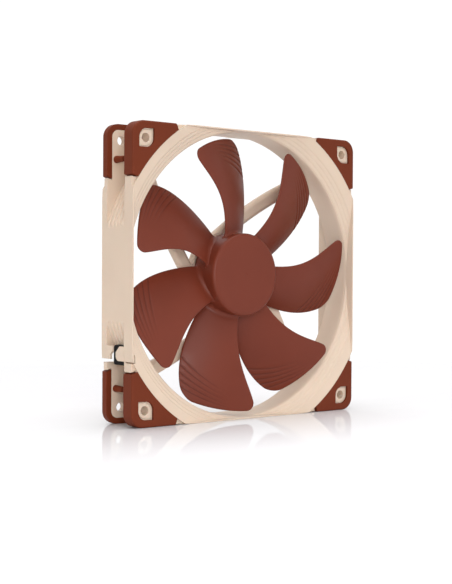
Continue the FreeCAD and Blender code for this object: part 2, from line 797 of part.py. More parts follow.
# ---------------------------------------------------------- turned components
HUB_INNER = "Sizes.hub_radius - Sizes.hub_wall"
HUB_BACK = "-Sizes.hub_front + Sizes.hub_face"
YOKE_INNER = HUB_INNER + " - Sizes.yoke_wall"
MAGNET_INNER = YOKE_INNER + " - Sizes.magnet_wall"
BORE = "Sizes.shaft_radius + Sizes.bearing_clearance"

TURNED = {
    "rotor_yoke": [
        ("Sizes.bush_radius", HUB_BACK), (HUB_INNER, HUB_BACK), (HUB_INNER, "Sizes.yoke_rear"),
        (YOKE_INNER, "Sizes.yoke_rear"), (YOKE_INNER, HUB_BACK + " + Sizes.yoke_wall"),
        ("Sizes.bush_radius", HUB_BACK + " + Sizes.yoke_wall")],
    "rotor_magnet": [
        (MAGNET_INNER, "-Sizes.magnet_front"), (YOKE_INNER, "-Sizes.magnet_front"),
        (YOKE_INNER, "Sizes.magnet_rear"), (MAGNET_INNER, "Sizes.magnet_rear")],
    "shaft": [
        ("0", HUB_BACK), ("Sizes.shaft_radius", HUB_BACK), ("Sizes.shaft_radius", "Sizes.clip_seat"),
        ("Sizes.groove_radius", "Sizes.clip_seat"),
        ("Sizes.groove_radius", "Sizes.clip_seat + Sizes.clip_slot"),
        ("Sizes.shaft_radius", "Sizes.clip_seat + Sizes.clip_slot"),
        ("Sizes.shaft_radius", "Sizes.shaft_rear - 0.3"), ("Sizes.shaft_radius - 0.5", "Sizes.shaft_rear"),
        ("0", "Sizes.shaft_rear")],
    "shaft_bush": [
        ("Sizes.shaft_radius", HUB_BACK), ("Sizes.bush_radius", HUB_BACK),
        ("Sizes.bush_radius", HUB_BACK + " + Sizes.yoke_wall"),
        ("Sizes.bush_flange", HUB_BACK + " + Sizes.yoke_wall"),
        ("Sizes.bush_flange", HUB_BACK + " + Sizes.yoke_wall + 0.6"),
        ("Sizes.shaft_radius", HUB_BACK + " + Sizes.yoke_wall + 0.9")],
    "retaining_clip": [
        ("Sizes.groove_radius", "Sizes.clip_seat + 0.02"), ("Sizes.clip_radius", "Sizes.clip_seat + 0.02"),
        ("Sizes.clip_radius", "Sizes.clip_seat + Sizes.clip_slot - 0.02"),
        ("Sizes.groove_radius", "Sizes.clip_seat + Sizes.clip_slot - 0.02")],
    "bearing_tube": [
        ("Sizes.sleeve_radius", "-Sizes.tube_front"), ("Sizes.tube_radius", "-Sizes.tube_front"),
        ("Sizes.tube_radius", "Sizes.tube_rear"), ("0", "Sizes.tube_rear"), ("0", "Sizes.tube_floor"),
        ("Sizes.sleeve_radius", "Sizes.tube_floor")],
    "bearing_sleeve": [
        (BORE, "-Sizes.sleeve_front"), ("Sizes.sleeve_radius", "-Sizes.sleeve_front"),
        ("Sizes.sleeve_radius", "Sizes.sleeve_rear"), (BORE, "Sizes.sleeve_rear")],
    "oil_seal": [
        ("Sizes.shaft_radius + 0.4", "-Sizes.tube_front"), ("Sizes.sleeve_radius", "-Sizes.tube_front"),
        ("Sizes.sleeve_radius", "-Sizes.sleeve_front"),
        ("Sizes.shaft_radius + 0.4", "-Sizes.sleeve_front")],
    "thrust_plate": [
        ("0", "Sizes.tube_floor - 0.3"), ("Sizes.sleeve_radius", "Sizes.tube_floor - 0.3"),
        ("Sizes.sleeve_radius", "Sizes.tube_floor"), ("0", "Sizes.tube_floor")],
    "circuit_board": [
        ("Sizes.tube_radius", "Sizes.board_front"), ("Sizes.board_radius", "Sizes.board_front"),
        ("Sizes.board_radius", "Sizes.board_front + Sizes.board_thick"),
        ("Sizes.tube_radius", "Sizes.board_front + Sizes.board_thick")],
    "rear_label": [
        ("0", "Sizes.base_back - Sizes.label_recess"),
        ("Sizes.label_radius", "Sizes.base_back - Sizes.label_recess"),
        ("Sizes.label_radius", "Sizes.base_back - Sizes.label_recess + Sizes.label_thick"),
        ("0", "Sizes.base_back - Sizes.label_recess + Sizes.label_thick")],
}

finished = [frame, impeller]
for label, corners in TURNED.items():
    body = new_body(label)
    turn(body, label + "_turned", corners)
    lift(body)
    finished.append(body)

# -------------------------------------------------------------------- stator
SLOT_PLAN = [
    ("Sizes.tooth_half", "Sizes.core_ring"),
    ("Sizes.tooth_half", "Sizes.shoe_radius - 0.3"),
    ("Sizes.shoe_radius * 0.48", "Sizes.shoe_radius * 0.84"),
    ("Sizes.shoe_radius * 0.72 - Sizes.slot_mouth / 2", "Sizes.shoe_radius * 0.72 + Sizes.slot_mouth / 2"),
    ("Sizes.core_radius - Sizes.slot_mouth / 2", "Sizes.core_radius + Sizes.slot_mouth / 2"),
    ("Sizes.core_radius + Sizes.slot_mouth / 2", "Sizes.core_radius - Sizes.slot_mouth / 2"),
    ("Sizes.shoe_radius * 0.72 + Sizes.slot_mouth / 2", "Sizes.shoe_radius * 0.72 - Sizes.slot_mouth / 2"),
    ("Sizes.shoe_radius * 0.84", "Sizes.shoe_radius * 0.48"),
    ("Sizes.shoe_radius - 0.3", "Sizes.tooth_half"),
    ("Sizes.core_ring", "Sizes.tooth_half"),
]


def four_pole_plate(label, front, back, radius):
    """A plate with four T-shaped poles around the bearing tube."""
    body = new_body(label)
    turn(body, label + "_disc", [("Sizes.tube_radius", front), (radius, front), (radius, back),
                                 ("Sizes.tube_radius", back)])
    sketch = polygon(body, label + "_slot_plan", "XZ_Plane", SLOT_PLAN)
    slot_cut = cut_slab(body, label + "_slot", sketch, front, back)
    polar(body, label + "_slots", slot_cut, "Y_Axis", "Sizes.strut_count")
    lift(body)
    return body


finished.append(four_pole_plate("stator_core", "-Sizes.core_half", "Sizes.core_half", "Sizes.core_radius"))
finished.append(four_pole_plate("stator_insulator_front", "-Sizes.core_half - Sizes.liner",
                                "-Sizes.core_half", "Sizes.core_radius - 0.4"))
finished.append(four_pole_plate("stator_insulator_rear", "Sizes.core_half",
                                "Sizes.core_half + Sizes.liner", "Sizes.core_radius - 0.4"))

for number in range(4):
    coil = new_body("stator_coil_%d" % (number + 1))
    ring = polygon(coil, "coil_outer", "XY_Plane", [
        ("Sizes.coil_wide", "-Sizes.coil_high"), ("Sizes.coil_wide", "Sizes.coil_high"),
        ("-Sizes.coil_wide", "Sizes.coil_high"), ("-Sizes.coil_wide", "-Sizes.coil_high")])
    ring.setExpression("AttachmentOffset.Base.z", "Sizes.coil_start")
    wound = coil.newObject("PartDesign::Pad", "coil_block")
    wound.Profile = ring
    wound.setExpression("Length", "Sizes.coil_end - Sizes.coil_start")
    document.recompute()

    def upright(edge):
        """True for the long corners of the winding."""
        return abs(abs(edge.tangentAt(edge.FirstParameter).z) - 1) < 1e-6

    round_edges(coil, "coil_rounds", wound, "Sizes.slot_mouth", upright)
    window = polygon(coil, "coil_window", "XY_Plane", [
        ("Sizes.tooth_half", "-Sizes.core_half - Sizes.liner"),
        ("Sizes.tooth_half", "Sizes.core_half + Sizes.liner"),
        ("-Sizes.tooth_half", "Sizes.core_half + Sizes.liner"),
        ("-Sizes.tooth_half", "-Sizes.core_half - Sizes.liner")])
    passage = coil.newObject("PartDesign::Pocket", "coil_passage")
    passage.Profile = window
    passage.Type = "ThroughAll"
    passage.Reversed = True
    document.recompute()
    assert coil.Shape.Volume < wound.Shape.Volume - 1
    quarter_turn(coil, number)
    lift(coil)
    finished.append(coil)

# --------------------------------------------------------- board components
BOARD_BACK = "Sizes.board_front + Sizes.board_thick"
chip = box("driver_chip", ("8.5", BOARD_BACK, "-3"), ("13.5", BOARD_BACK + " + 1.1", "3"))
sensor = box("hall_sensor", ("8.9", "Sizes.board_front - 0.7", "8.9"), ("10.9", "Sizes.board_front", "10.9"))
capacitor = rod("capacitor", "1.6", BOARD_BACK, BOARD_BACK + " + 1.2", "-11", "4")
for item, height in ((chip, "-3"), (sensor, "8.9"), (capacitor, "4")):
    item.setExpression("Placement.Base.z", "Sizes.side / 2 + %s" % height)
    finished.append(item)

# --------------------------------------------------------------- cable gland
gland = new_body("cable_gland")
gland_plan = polygon(gland, "gland_plan", "XZ_Plane", [
    ("Sizes.gland_outer", "Sizes.gland_low"), ("Sizes.gland_inner", "Sizes.gland_low"),
    ("Sizes.gland_inner - 1.6", "Sizes.gland_high"), ("Sizes.gland_outer", "Sizes.gland_high")])
gland_block = slab(gland, "gland_block", gland_plan, "Sizes.gland_front", "Sizes.gland_rear")


def gland_corner(edge):
    """True for the upright outer corners of the gland."""
    return along_axis(edge) and edge.CenterOfMass.x < size("Sizes.gland_outer") + 0.01


round_edges(gland, "gland_rounds", gland_block, "1.2", gland_corner)
lead_hole = circles(gland, "gland_hole_plan", "XZ_Plane",
                    [("Sizes.gland_outer / 2 + Sizes.gland_inner / 2", "Sizes.gland_low / 2 + Sizes.gland_high / 2")],
                    "Sizes.lead_radius")
cut_slab(gland, "gland_hole", lead_hole, "Sizes.gland_front", "Sizes.gland_rear + 1")
# The gland's inner side follows the round duct wall with a little room.
GLAND_SEAT = "Sizes.duct_radius + Sizes.ridge_rise + 0.1"
groove(gland, "gland_seat", [
    ("0", "-Sizes.depth"), (GLAND_SEAT, "-Sizes.depth"), (GLAND_SEAT, "Sizes.depth"), ("0", "Sizes.depth")])
lift(gland)
finished.append(gland)

# --------------------------------------------------------------- corner pads
PEG_SPOTS = (("Sizes.peg_far", "Sizes.peg_near"), ("Sizes.peg_near", "Sizes.peg_far"))


def corner_pad(label, rim, web, rear, corner_number):
    """A soft pad that covers one corner of one face and wraps the web's edge."""
    body = new_body(label + "_skin")
    plan = polygon(body, label + "_plan", "XZ_Plane", [
        ("Sizes.pad_end + 0.3", HALF), (HALF, HALF), (HALF, "Sizes.pad_end + 0.3"),
        (SEAT_HALF, "Sizes.pad_end - Sizes.pad_slant + 0.3"), ("30", "30"),
        ("Sizes.pad_end - Sizes.pad_slant + 0.3", SEAT_HALF)])
    skin = slab(body, label + "_block", plan, FRONT, FRONT + " + " + rim)

    def outer_corner(edge):
        """True for the pad's outer upright corner."""
        return along_axis(edge) and edge.CenterOfMass.x + edge.CenterOfMass.z > size("Sizes.side") - 0.1

    cornered = round_edges(body, label + "_corner", skin, "Sizes.pad_corner", outer_corner)

    def face_rim(edge):
        """True for the outer edges of the pad's face, along both sides and the corner."""
        point = edge.CenterOfMass
        on_face = abs(edge.BoundBox.YMax - size(FRONT)) < 1e-6
        on_side = max(point.x, point.z) > size(HALF) - 0.01
        on_corner = edge.Curve.TypeId == "Part::GeomCircle"
        return on_face and (on_side or on_corner)

    round_edges(body, label + "_soft_rim", cornered, "Sizes.pad_round", face_rim)
    inner = polygon(body, label + "_inner_plan", "XZ_Plane", corner_square("20", SEAT_HALF))
    pocket = cut_slab(body, label + "_inner", inner, FRONT_SEAT, FRONT + " + " + rim + " + 1")

    def inner_corner(edge):
        """True for the upright corner inside the rim."""
        point = edge.CenterOfMass
        return along_axis(edge) and abs(point.x - point.z) < 0.01 and abs(point.x - size(SEAT_HALF)) < 0.01

    round_edges(body, label + "_inner_corner", pocket, "Sizes.seat_corner", inner_corner)
    groove(body, label + "_arc", [
        ("0", "-Sizes.depth"), ("Sizes.seat_radius", "-Sizes.depth"),
        ("Sizes.seat_radius", "0"), ("0", "0")])
    pieces = [body]
    web_back = FRONT_SEAT + " + " + web
    for x, z in PEG_SPOTS:
        pieces.append(rod(label + "_peg", "Sizes.peg_radius", FRONT_SEAT + " - 0.5", web_back + " + 0.1", x, z))
        pieces.append(cone(label + "_barb", "Sizes.barb_radius", "Sizes.barb_tail", web_back,
                           web_back + " + Sizes.barb_length", x, z))
    solid = fuse(label + "_solid", pieces)
    opening = leaf(label + "_opening", BOSS_LOW + " - Sizes.cutout_gap", BOSS_HIGH + " + Sizes.cutout_gap",
                   "-Sizes.depth", "0")
    pad = cut(label, solid, opening)
    turn_about_axis = Rotation(Vector(0, 1, 0), -90.0 * corner_number)
    flip = Rotation(Vector(1, 0, -1), 180) if rear else Rotation()
    pad.Placement = Placement(Vector(0, 0, 0), turn_about_axis.multiply(flip))
    lift(pad)
    return pad


CORNERS = ("top_right", "top_left", "bottom_left", "bottom_right")
for number, corner in enumerate(CORNERS):
    finished.append(corner_pad("front_pad_" + corner, "Sizes.front_rim", "Sizes.front_web", False, number))
for number, corner in enumerate(CORNERS):
    rear_number = number + 2
    finished.append(corner_pad("rear_pad_" + corner, "Sizes.rear_rim", "Sizes.rear_web", True, rear_number))

document.recompute()

# --------------------------------------------------------- checks and export
for item in document.Objects:
    if "Invalid" in item.State or "Error" in item.State:
        raise RuntimeError("failed: " + item.Label)
for item in finished:
    if item.Shape.isNull() or not item.Shape.isValid():
        raise RuntimeError("bad shape: " + item.Label)
    item.Shape.exportStep("parts/%s.step" % item.Label)
    bounds = item.Shape.BoundBox
    print("%-26s %d solid  x %.1f..%.1f  y %.1f..%.1f  z %.1f..%.1f  volume %.0f" % (
        item.Label, len(item.Shape.Solids), bounds.XMin, bounds.XMax, bounds.YMin, bounds.YMax,
        bounds.ZMin, bounds.ZMax, item.Shape.Volume))
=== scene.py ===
"""Looks of a square axial case fan: moulded frame, soft corner pads, swept impeller and motor."""

import json
import logging
import math
from dataclasses import dataclass, field
from enum import Enum
from typing import Callable, Iterable, Sequence

import bmesh
import bpy
import numpy as np
from mathutils import Matrix, Vector


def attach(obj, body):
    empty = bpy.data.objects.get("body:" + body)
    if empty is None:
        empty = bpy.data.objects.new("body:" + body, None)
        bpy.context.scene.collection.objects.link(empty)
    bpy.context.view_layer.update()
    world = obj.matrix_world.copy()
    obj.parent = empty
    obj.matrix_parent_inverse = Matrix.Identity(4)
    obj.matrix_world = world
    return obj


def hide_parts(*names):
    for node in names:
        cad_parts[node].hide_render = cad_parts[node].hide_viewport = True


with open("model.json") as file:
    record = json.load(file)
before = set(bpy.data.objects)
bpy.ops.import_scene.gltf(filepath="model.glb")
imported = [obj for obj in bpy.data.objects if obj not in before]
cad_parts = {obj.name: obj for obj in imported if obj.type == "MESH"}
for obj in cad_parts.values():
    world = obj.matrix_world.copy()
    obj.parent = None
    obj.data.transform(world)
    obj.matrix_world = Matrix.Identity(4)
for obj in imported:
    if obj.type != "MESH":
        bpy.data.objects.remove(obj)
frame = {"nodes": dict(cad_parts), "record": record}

LOG = logging.getLogger("case_fan")
MM = 0.001
AXIS_HEIGHT = 0.070
RGB = tuple[float, float, float]
Place = tuple[float, float, float]
Socket = bpy.types.NodeSocket
Piece = bpy.types.Object
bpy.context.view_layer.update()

# Points of one mesh that are nearer than this are merged.
MERGE_DISTANCE = 1e-7
# Names of the two values that each blade's points carry for its finish.
ACROSS = "across"
REACH = "reach"
# A wave texture of scale 1 repeats after this length.
WAVE_PERIOD = 0.314
# Parts of a noise texture's range: what slow changes use, and what specks use.
SLOW_BAND = (0.3, 0.7)
SPECK_BAND = (0.42, 0.68)
# Agreement of a face's normal with the rounded one: on a flat face, and on a sharp edge. It bounds the edge
# lightening, which is partly wear and partly a painted highlight.
EDGE_BAND = (0.985, 0.80)


class Body(Enum):
    """The two rigid bodies of the fan."""

    HOUSING = "housing"
    ROTOR = "rotor"


# ---------------------------------------------------------------- node trees
class NodeGraph:
    """A short way to add and join the nodes of one tree."""

    prefix = ""

    def __init__(self, tree: bpy.types.NodeTree) -> None:
        """Keep the tree that nodes are added to."""
        self.tree = tree

    def add(self, kind: str, **settings: object) -> bpy.types.Node:
        """Add a node, and set its properties and inputs.

        Args:
            kind: The node's type name, without the graph's prefix.
            **settings: A property by its name, or an input as in_Name or in_Number. An input takes a
                plain value or the socket that feeds it.

        Returns:
            The new node.
        """
        node = self.tree.nodes.new(self.prefix + kind)
        for name, value in settings.items():
            if name.startswith("in_"):
                key = name[3:].replace("_", " ")
                self.feed(node.inputs[int(key) if key.isdigit() else key], value)
            else:
                setattr(node, name, value)
        return node

    def feed(self, target: Socket, value: object) -> None:
        """Set an input to a plain value, or link it to the socket that feeds it.

        Args:
            target: The input socket.
            value: A plain value or an output socket.
        """
        if isinstance(value, Socket):
            self.tree.links.new(value, target)
        else:
            target.default_value = value


class ShaderGraph(NodeGraph):
    """The shader nodes of one material or world."""

    prefix = "ShaderNode"

    def noise(self, coords: Socket, scale: float, detail: float = 3.0, rough: float = 0.55) -> Socket:
        """Return the factor of a noise texture on the given coordinates."""
        node = self.add("TexNoise", in_Vector=coords, in_Scale=scale, in_Detail=detail, in_Roughness=rough)
        return node.outputs["Fac"]

    def ramp(self, value: Socket, band: tuple[float, float], out_low: float, out_high: float) -> Socket:
        """Map a value from one range to another, clamped.

        Args:
            value: The value to map.
            band: The values that give out_low and out_high.
            out_low: Result at the band's first value and before it.
            out_high: Result at the band's second value and past it.

        Returns:
            The mapped value.
        """
        node = self.add("MapRange", clamp=True, in_From_Min=band[0], in_From_Max=band[1],
                        in_To_Min=out_low, in_To_Max=out_high, in_Value=value)
        return node.outputs["Result"]

    def calc(self, operation: str, *values: Socket | float) -> Socket:
        """Work out a value with a Math node.

        Args:
            operation: The node's operation.
            *values: Its inputs in order, each a socket or a number.

        Returns:
            The result.
        """
        node = self.add("Math", operation=operation)
        for target, value in zip(node.inputs, values):
            self.feed(target, value)
        return node.outputs[0]

    def mix(self, factor: Socket, first: Socket | RGB, second: Socket | RGB) -> Socket:
        """Mix two colours.

        Args:
            factor: 0 for the first colour and 1 for the second.
            first: A socket or a plain colour.
            second: A socket or a plain colour.

        Returns:
            The mixed colour.
        """
        node = self.add("Mix", data_type="RGBA", in_Factor=factor)
        for value, name in ((first, "A"), (second, "B")):
            target = next(s for s in node.inputs if s.name == name and s.type == "RGBA")
            self.feed(target, value if isinstance(value, Socket) else (*value, 1.0))
        return next(s for s in node.outputs if s.type == "RGBA")


# ------------------------------------------------------------------ finishes
def shade(colour: RGB, factor: float) -> RGB:
    """Return a colour made lighter or darker by a factor."""
    return tuple(min(1.0, part * factor) for part in colour)


@dataclass(frozen=True)
class FlowChannels:
    """Fine channels moulded into each blade near its trailing edge, in millimetres.

    A channel runs where the distance from the axis is start + slope * (1 - across), and across goes
    from 0 at the leading edge to 1 at the trailing edge.
    """

    starts: tuple[float, ...] = (49.0, 52.6, 56.0, 59.2, 62.2)
    slopes: tuple[float, ...] = (14.0, 12.0, 9.8, 7.5, 5.0)
    depth: float = 0.30
    width: float = 0.34
    fade_start: float = 0.30
    fade_length: float = 0.35
    fade_power: float = 1.2
    ramp_length: float = 1.8
    ramp_share: float = 0.5

    def carved(self, radius: np.ndarray, across: np.ndarray) -> np.ndarray:
        """Work out how deep the channels are, each with a soft ramp on its inner side.

        Args:
            radius: Distance from the axis.
            across: Place between the two edges, 0 to 1.

        Returns:
            The depth at each point.
        """
        depth = np.zeros_like(radius * across)
        fade = np.clip((across - self.fade_start) / self.fade_length, 0, 1) ** self.fade_power
        for start, slope in zip(self.starts, self.slopes):
            away = radius - (start + slope * (1 - across))
            line = np.exp(-(away / self.width) ** 2)
            ramp = np.where(away < 0, np.exp(away / self.ramp_length) * self.ramp_share, 0.0)
            depth += (line + ramp) * fade
        return depth * self.depth


@dataclass(frozen=True)
class Finish:
    """A surface finish with slow colour drift, fine grain, softened edges, and edges lightened partly as wear
    and partly as a painted highlight.

    The pattern sizes are in millimetres and read the piece's own object space.
    """

    name: str
    colour: RGB
    roughness: float
    metallic: float = 0.0
    drift: float = 0.05
    drift_mm: float = 18.0
    speckle: float = 0.03
    speckle_mm: float = 0.7
    speckle_gain: float = 4.0
    speckle_dark: float = 2.2
    grain: float = 0.12
    grain_mm: float = 0.28
    grain_deep_mm: float = 0.05
    rough_spread: float = 0.05
    rough_share: float = 0.4
    edge_mm: float = 0.25
    # Edges are made lighter by this factor: partly wear, partly a painted highlight.
    edge_gain: float = 1.08
    edge_samples: int = 4
    sheen: float = 0.0
    coat: float = 0.0
    specular: float = 0.5
    subsurface: float = 0.0
    subsurface_mm: float = 1.2

    def coordinates(self, graph: ShaderGraph) -> Socket:
        """Return object coordinates in millimetres."""
        place = graph.add("TexCoord").outputs["Object"]
        return graph.add("VectorMath", operation="SCALE", in_0=place, in_Scale=1 / MM).outputs[0]

    def base(self, graph: ShaderGraph, coords: Socket) -> Socket:
        """Make the base colour before edges are lightened.

        Args:
            graph: The material's nodes.
            coords: Object coordinates in millimetres.

        Returns:
            The colour.
        """
        slow = graph.ramp(graph.noise(coords, 1 / self.drift_mm, detail=2.0), SLOW_BAND, 0.0, 1.0)
        colour = graph.mix(slow, shade(self.colour, 1 - self.drift), shade(self.colour, 1 + self.drift))
        specks = graph.noise(coords, 1 / self.speckle_mm, detail=4.0, rough=0.7)
        fine = graph.ramp(specks, SPECK_BAND, 0.0, self.speckle * self.speckle_gain)
        return graph.mix(fine, colour, shade(self.colour, 1 - self.speckle_dark * self.speckle))

    def with_worn_highlit_edges(self, graph: ShaderGraph, coords: Socket, rounded: Socket) -> Socket:
        """Make the base colour with lighter edges, partly wear and partly a painted highlight.

        Args:
            graph: The material's nodes.
            coords: Object coordinates in millimetres.
            rounded: The normal of the surface with its edges rounded.

        Returns:
            The colour.
        """
        flat = graph.add("NewGeometry").outputs["Normal"]
        turn = graph.add("VectorMath", operation="DOT_PRODUCT", in_0=rounded, in_1=flat)
        edge = graph.ramp(turn.outputs["Value"], EDGE_BAND, 0.0, 1.0)
        # Edges lightened: partly wear, partly a painted highlight.
        return graph.mix(edge, self.base(graph, coords), shade(self.colour, self.edge_gain))

    def relief(self, graph: ShaderGraph, coords: Socket) -> Socket:
        """Return the height of the fine surface relief."""
        return graph.noise(coords, 1 / self.grain_mm, detail=3.0, rough=0.6)

    def material(self) -> bpy.types.Material:
        """Build the finish, only once.

        Returns:
            Its material.
        """
        name = "finish_" + self.name
        found = bpy.data.materials.get(name)
        if found:
            return found
        made = bpy.data.materials.new(name)
        made.use_nodes = True
        graph = ShaderGraph(made.node_tree)
        surface = made.node_tree.nodes["Principled BSDF"].inputs
        surface["Metallic"].default_value = self.metallic
        surface["Specular IOR Level"].default_value = self.specular
        surface["Sheen Weight"].default_value = self.sheen
        surface["Coat Weight"].default_value = self.coat
        if self.subsurface:
            surface["Subsurface Weight"].default_value = self.subsurface
            surface["Subsurface Scale"].default_value = self.subsurface_mm * MM
        coords = self.coordinates(graph)
        rounded = graph.add("Bevel", samples=self.edge_samples, in_Radius=self.edge_mm * MM).outputs["Normal"]
        graph.feed(surface["Base Color"], self.with_worn_highlit_edges(graph, coords, rounded))
        cloud = graph.noise(coords, 1 / (self.drift_mm * self.rough_share), detail=4.0)
        low, high = self.roughness - self.rough_spread, self.roughness + self.rough_spread
        graph.feed(surface["Roughness"], graph.ramp(cloud, SLOW_BAND, low, high))
        bump = graph.add("Bump", in_Strength=self.grain, in_Distance=self.grain_deep_mm * MM,
                         in_Height=self.relief(graph, coords), in_Normal=rounded)
        graph.feed(surface["Normal"], bump.outputs["Normal"])
        return made


@dataclass(frozen=True)
class TurnedMetal(Finish):
    """Metal with fine rings left by turning, about the fan's axis."""

    metallic: float = 1.0
    ring_mm: float = 0.12
    ring_wobble: float = 0.6
    pit_scale: float = 6.0
    pit_share: float = 0.4

    def relief(self, graph: ShaderGraph, coords: Socket) -> Socket:
        """Make fine concentric rings mixed with a little noise.

        Args:
            graph: The material's nodes.
            coords: Object coordinates in millimetres.

        Returns:
            The height.
        """
        centred = graph.add("Mapping", in_Location=(0.0, 0.0, -AXIS_HEIGHT / MM), in_Vector=coords)
        rings = graph.add("TexWave", wave_type="RINGS", rings_direction="Y", in_Vector=centred.outputs[0],
                          in_Scale=WAVE_PERIOD / self.ring_mm, in_Distortion=self.ring_wobble)
        pits = graph.calc("MULTIPLY", graph.noise(coords, self.pit_scale), self.pit_share)
        return graph.calc("ADD", rings.outputs["Fac"], pits)


@dataclass(frozen=True)
class Laminated(Finish):
    """A pack of thin steel sheets stacked along the axis."""

    sheet_mm: float = 0.5

    def relief(self, graph: ShaderGraph, coords: Socket) -> Socket:
        """Return one shallow groove between each pair of sheets."""
        return graph.add("TexWave", wave_type="BANDS", bands_direction="Y", in_Vector=coords,
                         in_Scale=WAVE_PERIOD / self.sheet_mm).outputs["Fac"]


@dataclass(frozen=True)
class BoardResin(Finish):
    """Green board with slightly lighter tracks under the mask."""

    cell_scale: float = 0.32
    cell_random: float = 0.35
    track_band: tuple[float, float] = (0.05, 0.09)
    track_gain: float = 1.9

    def base(self, graph: ShaderGraph, coords: Socket) -> Socket:
        """Make the mask's green with its lighter tracks.

        Args:
            graph: The material's nodes.
            coords: Object coordinates in millimetres.

        Returns:
            The colour.
        """
        cells = graph.add("TexVoronoi", feature="DISTANCE_TO_EDGE", distance="EUCLIDEAN", in_Vector=coords,
                          in_Scale=self.cell_scale, in_Randomness=self.cell_random)
        track = graph.ramp(cells.outputs["Distance"], self.track_band, 1.0, 0.0)
        return graph.mix(track, super().base(graph, coords), shade(self.colour, self.track_gain))


@dataclass(frozen=True)
class LabelFilm(Finish):
    """Plain film with two printed rings and no lettering."""

    ring: RGB = (0.20, 0.052, 0.036)
    rings: tuple[tuple[float, float], ...] = ((15.4, 0.5), (14.2, 0.25))
    inner_share: float = 0.5
    outer_share: float = 0.6

    def base(self, graph: ShaderGraph, coords: Socket) -> Socket:
        """Make the film's colour with its border rings, each given as radius and width.

        A ring is solid to the inner share of its width on both sides, and gone at the outer share.

        Args:
            graph: The material's nodes.
            coords: Object coordinates in millimetres.

        Returns:
            The colour.
        """
        centre = (0.0, 0.0, AXIS_HEIGHT / MM)
        centred = graph.add("VectorMath", operation="SUBTRACT", in_0=coords, in_1=centre)
        flat = graph.add("VectorMath", operation="MULTIPLY", in_0=centred.outputs[0], in_1=(1.0, 0.0, 1.0))
        length = graph.add("VectorMath", operation="LENGTH", in_0=flat.outputs[0]).outputs["Value"]
        colour = super().base(graph, coords)
        for radius, width in self.rings:
            away = graph.calc("ABSOLUTE", graph.calc("SUBTRACT", length, radius))
            band = (width * self.inner_share, width * self.outer_share)
            colour = graph.mix(graph.ramp(away, band, 1.0, 0.0), colour, self.ring)
        return colour


@dataclass(frozen=True)
class BladePlastic(Finish):
    """Filled plastic with painted shade along the fine flow channels of each blade."""

    channels: FlowChannels = FlowChannels()
    # Painted shade along each channel: its width, its darkness, its strength, and where across the blade it
    # grows.
    line_width: float = 0.32
    line_dark: float = 0.35
    line_share: float = 0.55
    line_fade: tuple[float, float] = (0.36, 0.72)

    def base(self, graph: ShaderGraph, coords: Socket) -> Socket:
        """Make the plastic's colour with a line of painted shade along each channel.

        Args:
            graph: The material's nodes.
            coords: Object coordinates in millimetres.

        Returns:
            The colour.
        """
        across = graph.add("Attribute", attribute_name=ACROSS).outputs["Fac"]
        reach = graph.add("Attribute", attribute_name=REACH).outputs["Fac"]
        back = graph.calc("MULTIPLY_ADD", across, -1.0, 1.0)
        painted_shade = None
        for start, slope in zip(self.channels.starts, self.channels.slopes):
            line = graph.calc("MULTIPLY_ADD", back, slope, start)
            away = graph.calc("DIVIDE", graph.calc("SUBTRACT", reach, line), self.line_width)
            bell = graph.calc("EXPONENT", graph.calc("MULTIPLY", graph.calc("POWER", away, 2.0), -1.0))
            painted_shade = bell if painted_shade is None else graph.calc("ADD", painted_shade, bell)
        # Painted shade in the channels, growing towards the trailing edge.
        factor = graph.calc("MULTIPLY", painted_shade, graph.ramp(across, self.line_fade, 0.0, self.line_share))
        return graph.mix(factor, super().base(graph, coords), shade(self.colour, self.line_dark))


SLOT_FINISHES: dict[str, Finish] = {finish.name: finish for finish in (
    Finish("frame_plastic", (0.665, 0.528, 0.414), 0.45, drift=0.02, speckle=0.012, grain=0.10,
           grain_mm=0.35, edge_mm=0.25, edge_gain=1.04, subsurface=0.06, specular=0.25),
    Finish("pad_silicone", (0.146, 0.0275, 0.0100), 0.55, drift=0.05, speckle=0.05, grain=0.22,
           grain_mm=0.22, edge_mm=0.6, edge_gain=1.25, specular=0.12),
    BladePlastic("impeller_plastic", (0.155, 0.0295, 0.0145), 0.38, drift=0.035, speckle=0.05,
                 speckle_mm=0.5, grain=0.16, grain_mm=0.3, edge_mm=0.2, edge_gain=1.3, specular=0.22),
    Finish("gland_rubber", (0.009, 0.009, 0.010), 0.7, speckle=0.05, grain=0.25, specular=0.12),
    TurnedMetal("yoke_steel", (0.55, 0.55, 0.56), 0.32),
    Finish("ferrite", (0.035, 0.035, 0.038), 0.6, speckle=0.12, speckle_mm=0.3, grain=0.4),
    TurnedMetal("shaft_steel", (0.66, 0.66, 0.67), 0.16, ring_mm=0.05),
    TurnedMetal("clip_steel", (0.45, 0.45, 0.47), 0.3),
    TurnedMetal("brass", (0.72, 0.52, 0.22), 0.26),
    Finish("bearing_bronze", (0.50, 0.30, 0.14), 0.38, metallic=1.0, speckle=0.2, speckle_mm=0.12,
           grain=0.5, grain_mm=0.1),
    Finish("seal_rubber", (0.02, 0.02, 0.02), 0.5, grain=0.3),
    Laminated("lamination_steel", (0.34, 0.34, 0.36), 0.35, metallic=1.0, grain=0.6),
    Finish("insulator_plastic", (0.72, 0.70, 0.62), 0.45, subsurface=0.1),
    Finish("copper_winding", (0.62, 0.22, 0.08), 0.25, metallic=1.0, coat=0.6, grain=0.1),
    BoardResin("board_resin", (0.020, 0.13, 0.055), 0.3, coat=0.3, grain=0.1),
    Finish("chip_resin", (0.020, 0.020, 0.022), 0.5, grain=0.4, grain_mm=0.12),
    TurnedMetal("capacitor_body", (0.70, 0.70, 0.70), 0.25, ring_mm=0.3),
    LabelFilm("label_film", (0.76, 0.74, 0.70), 0.35, coat=0.2, grain=0.05),
)}


# -------------------------------------------------------------------- meshes
def link_new(name: str, data: bpy.types.ID) -> Piece:
    """Make an object of a mesh, light or camera, and link it to the scene.

    Args:
        name: The object's name.
        data: What it shows.

    Returns:
        The new object.
    """
    made = bpy.data.objects.new(name, data)
    bpy.context.scene.collection.objects.link(made)
    return made


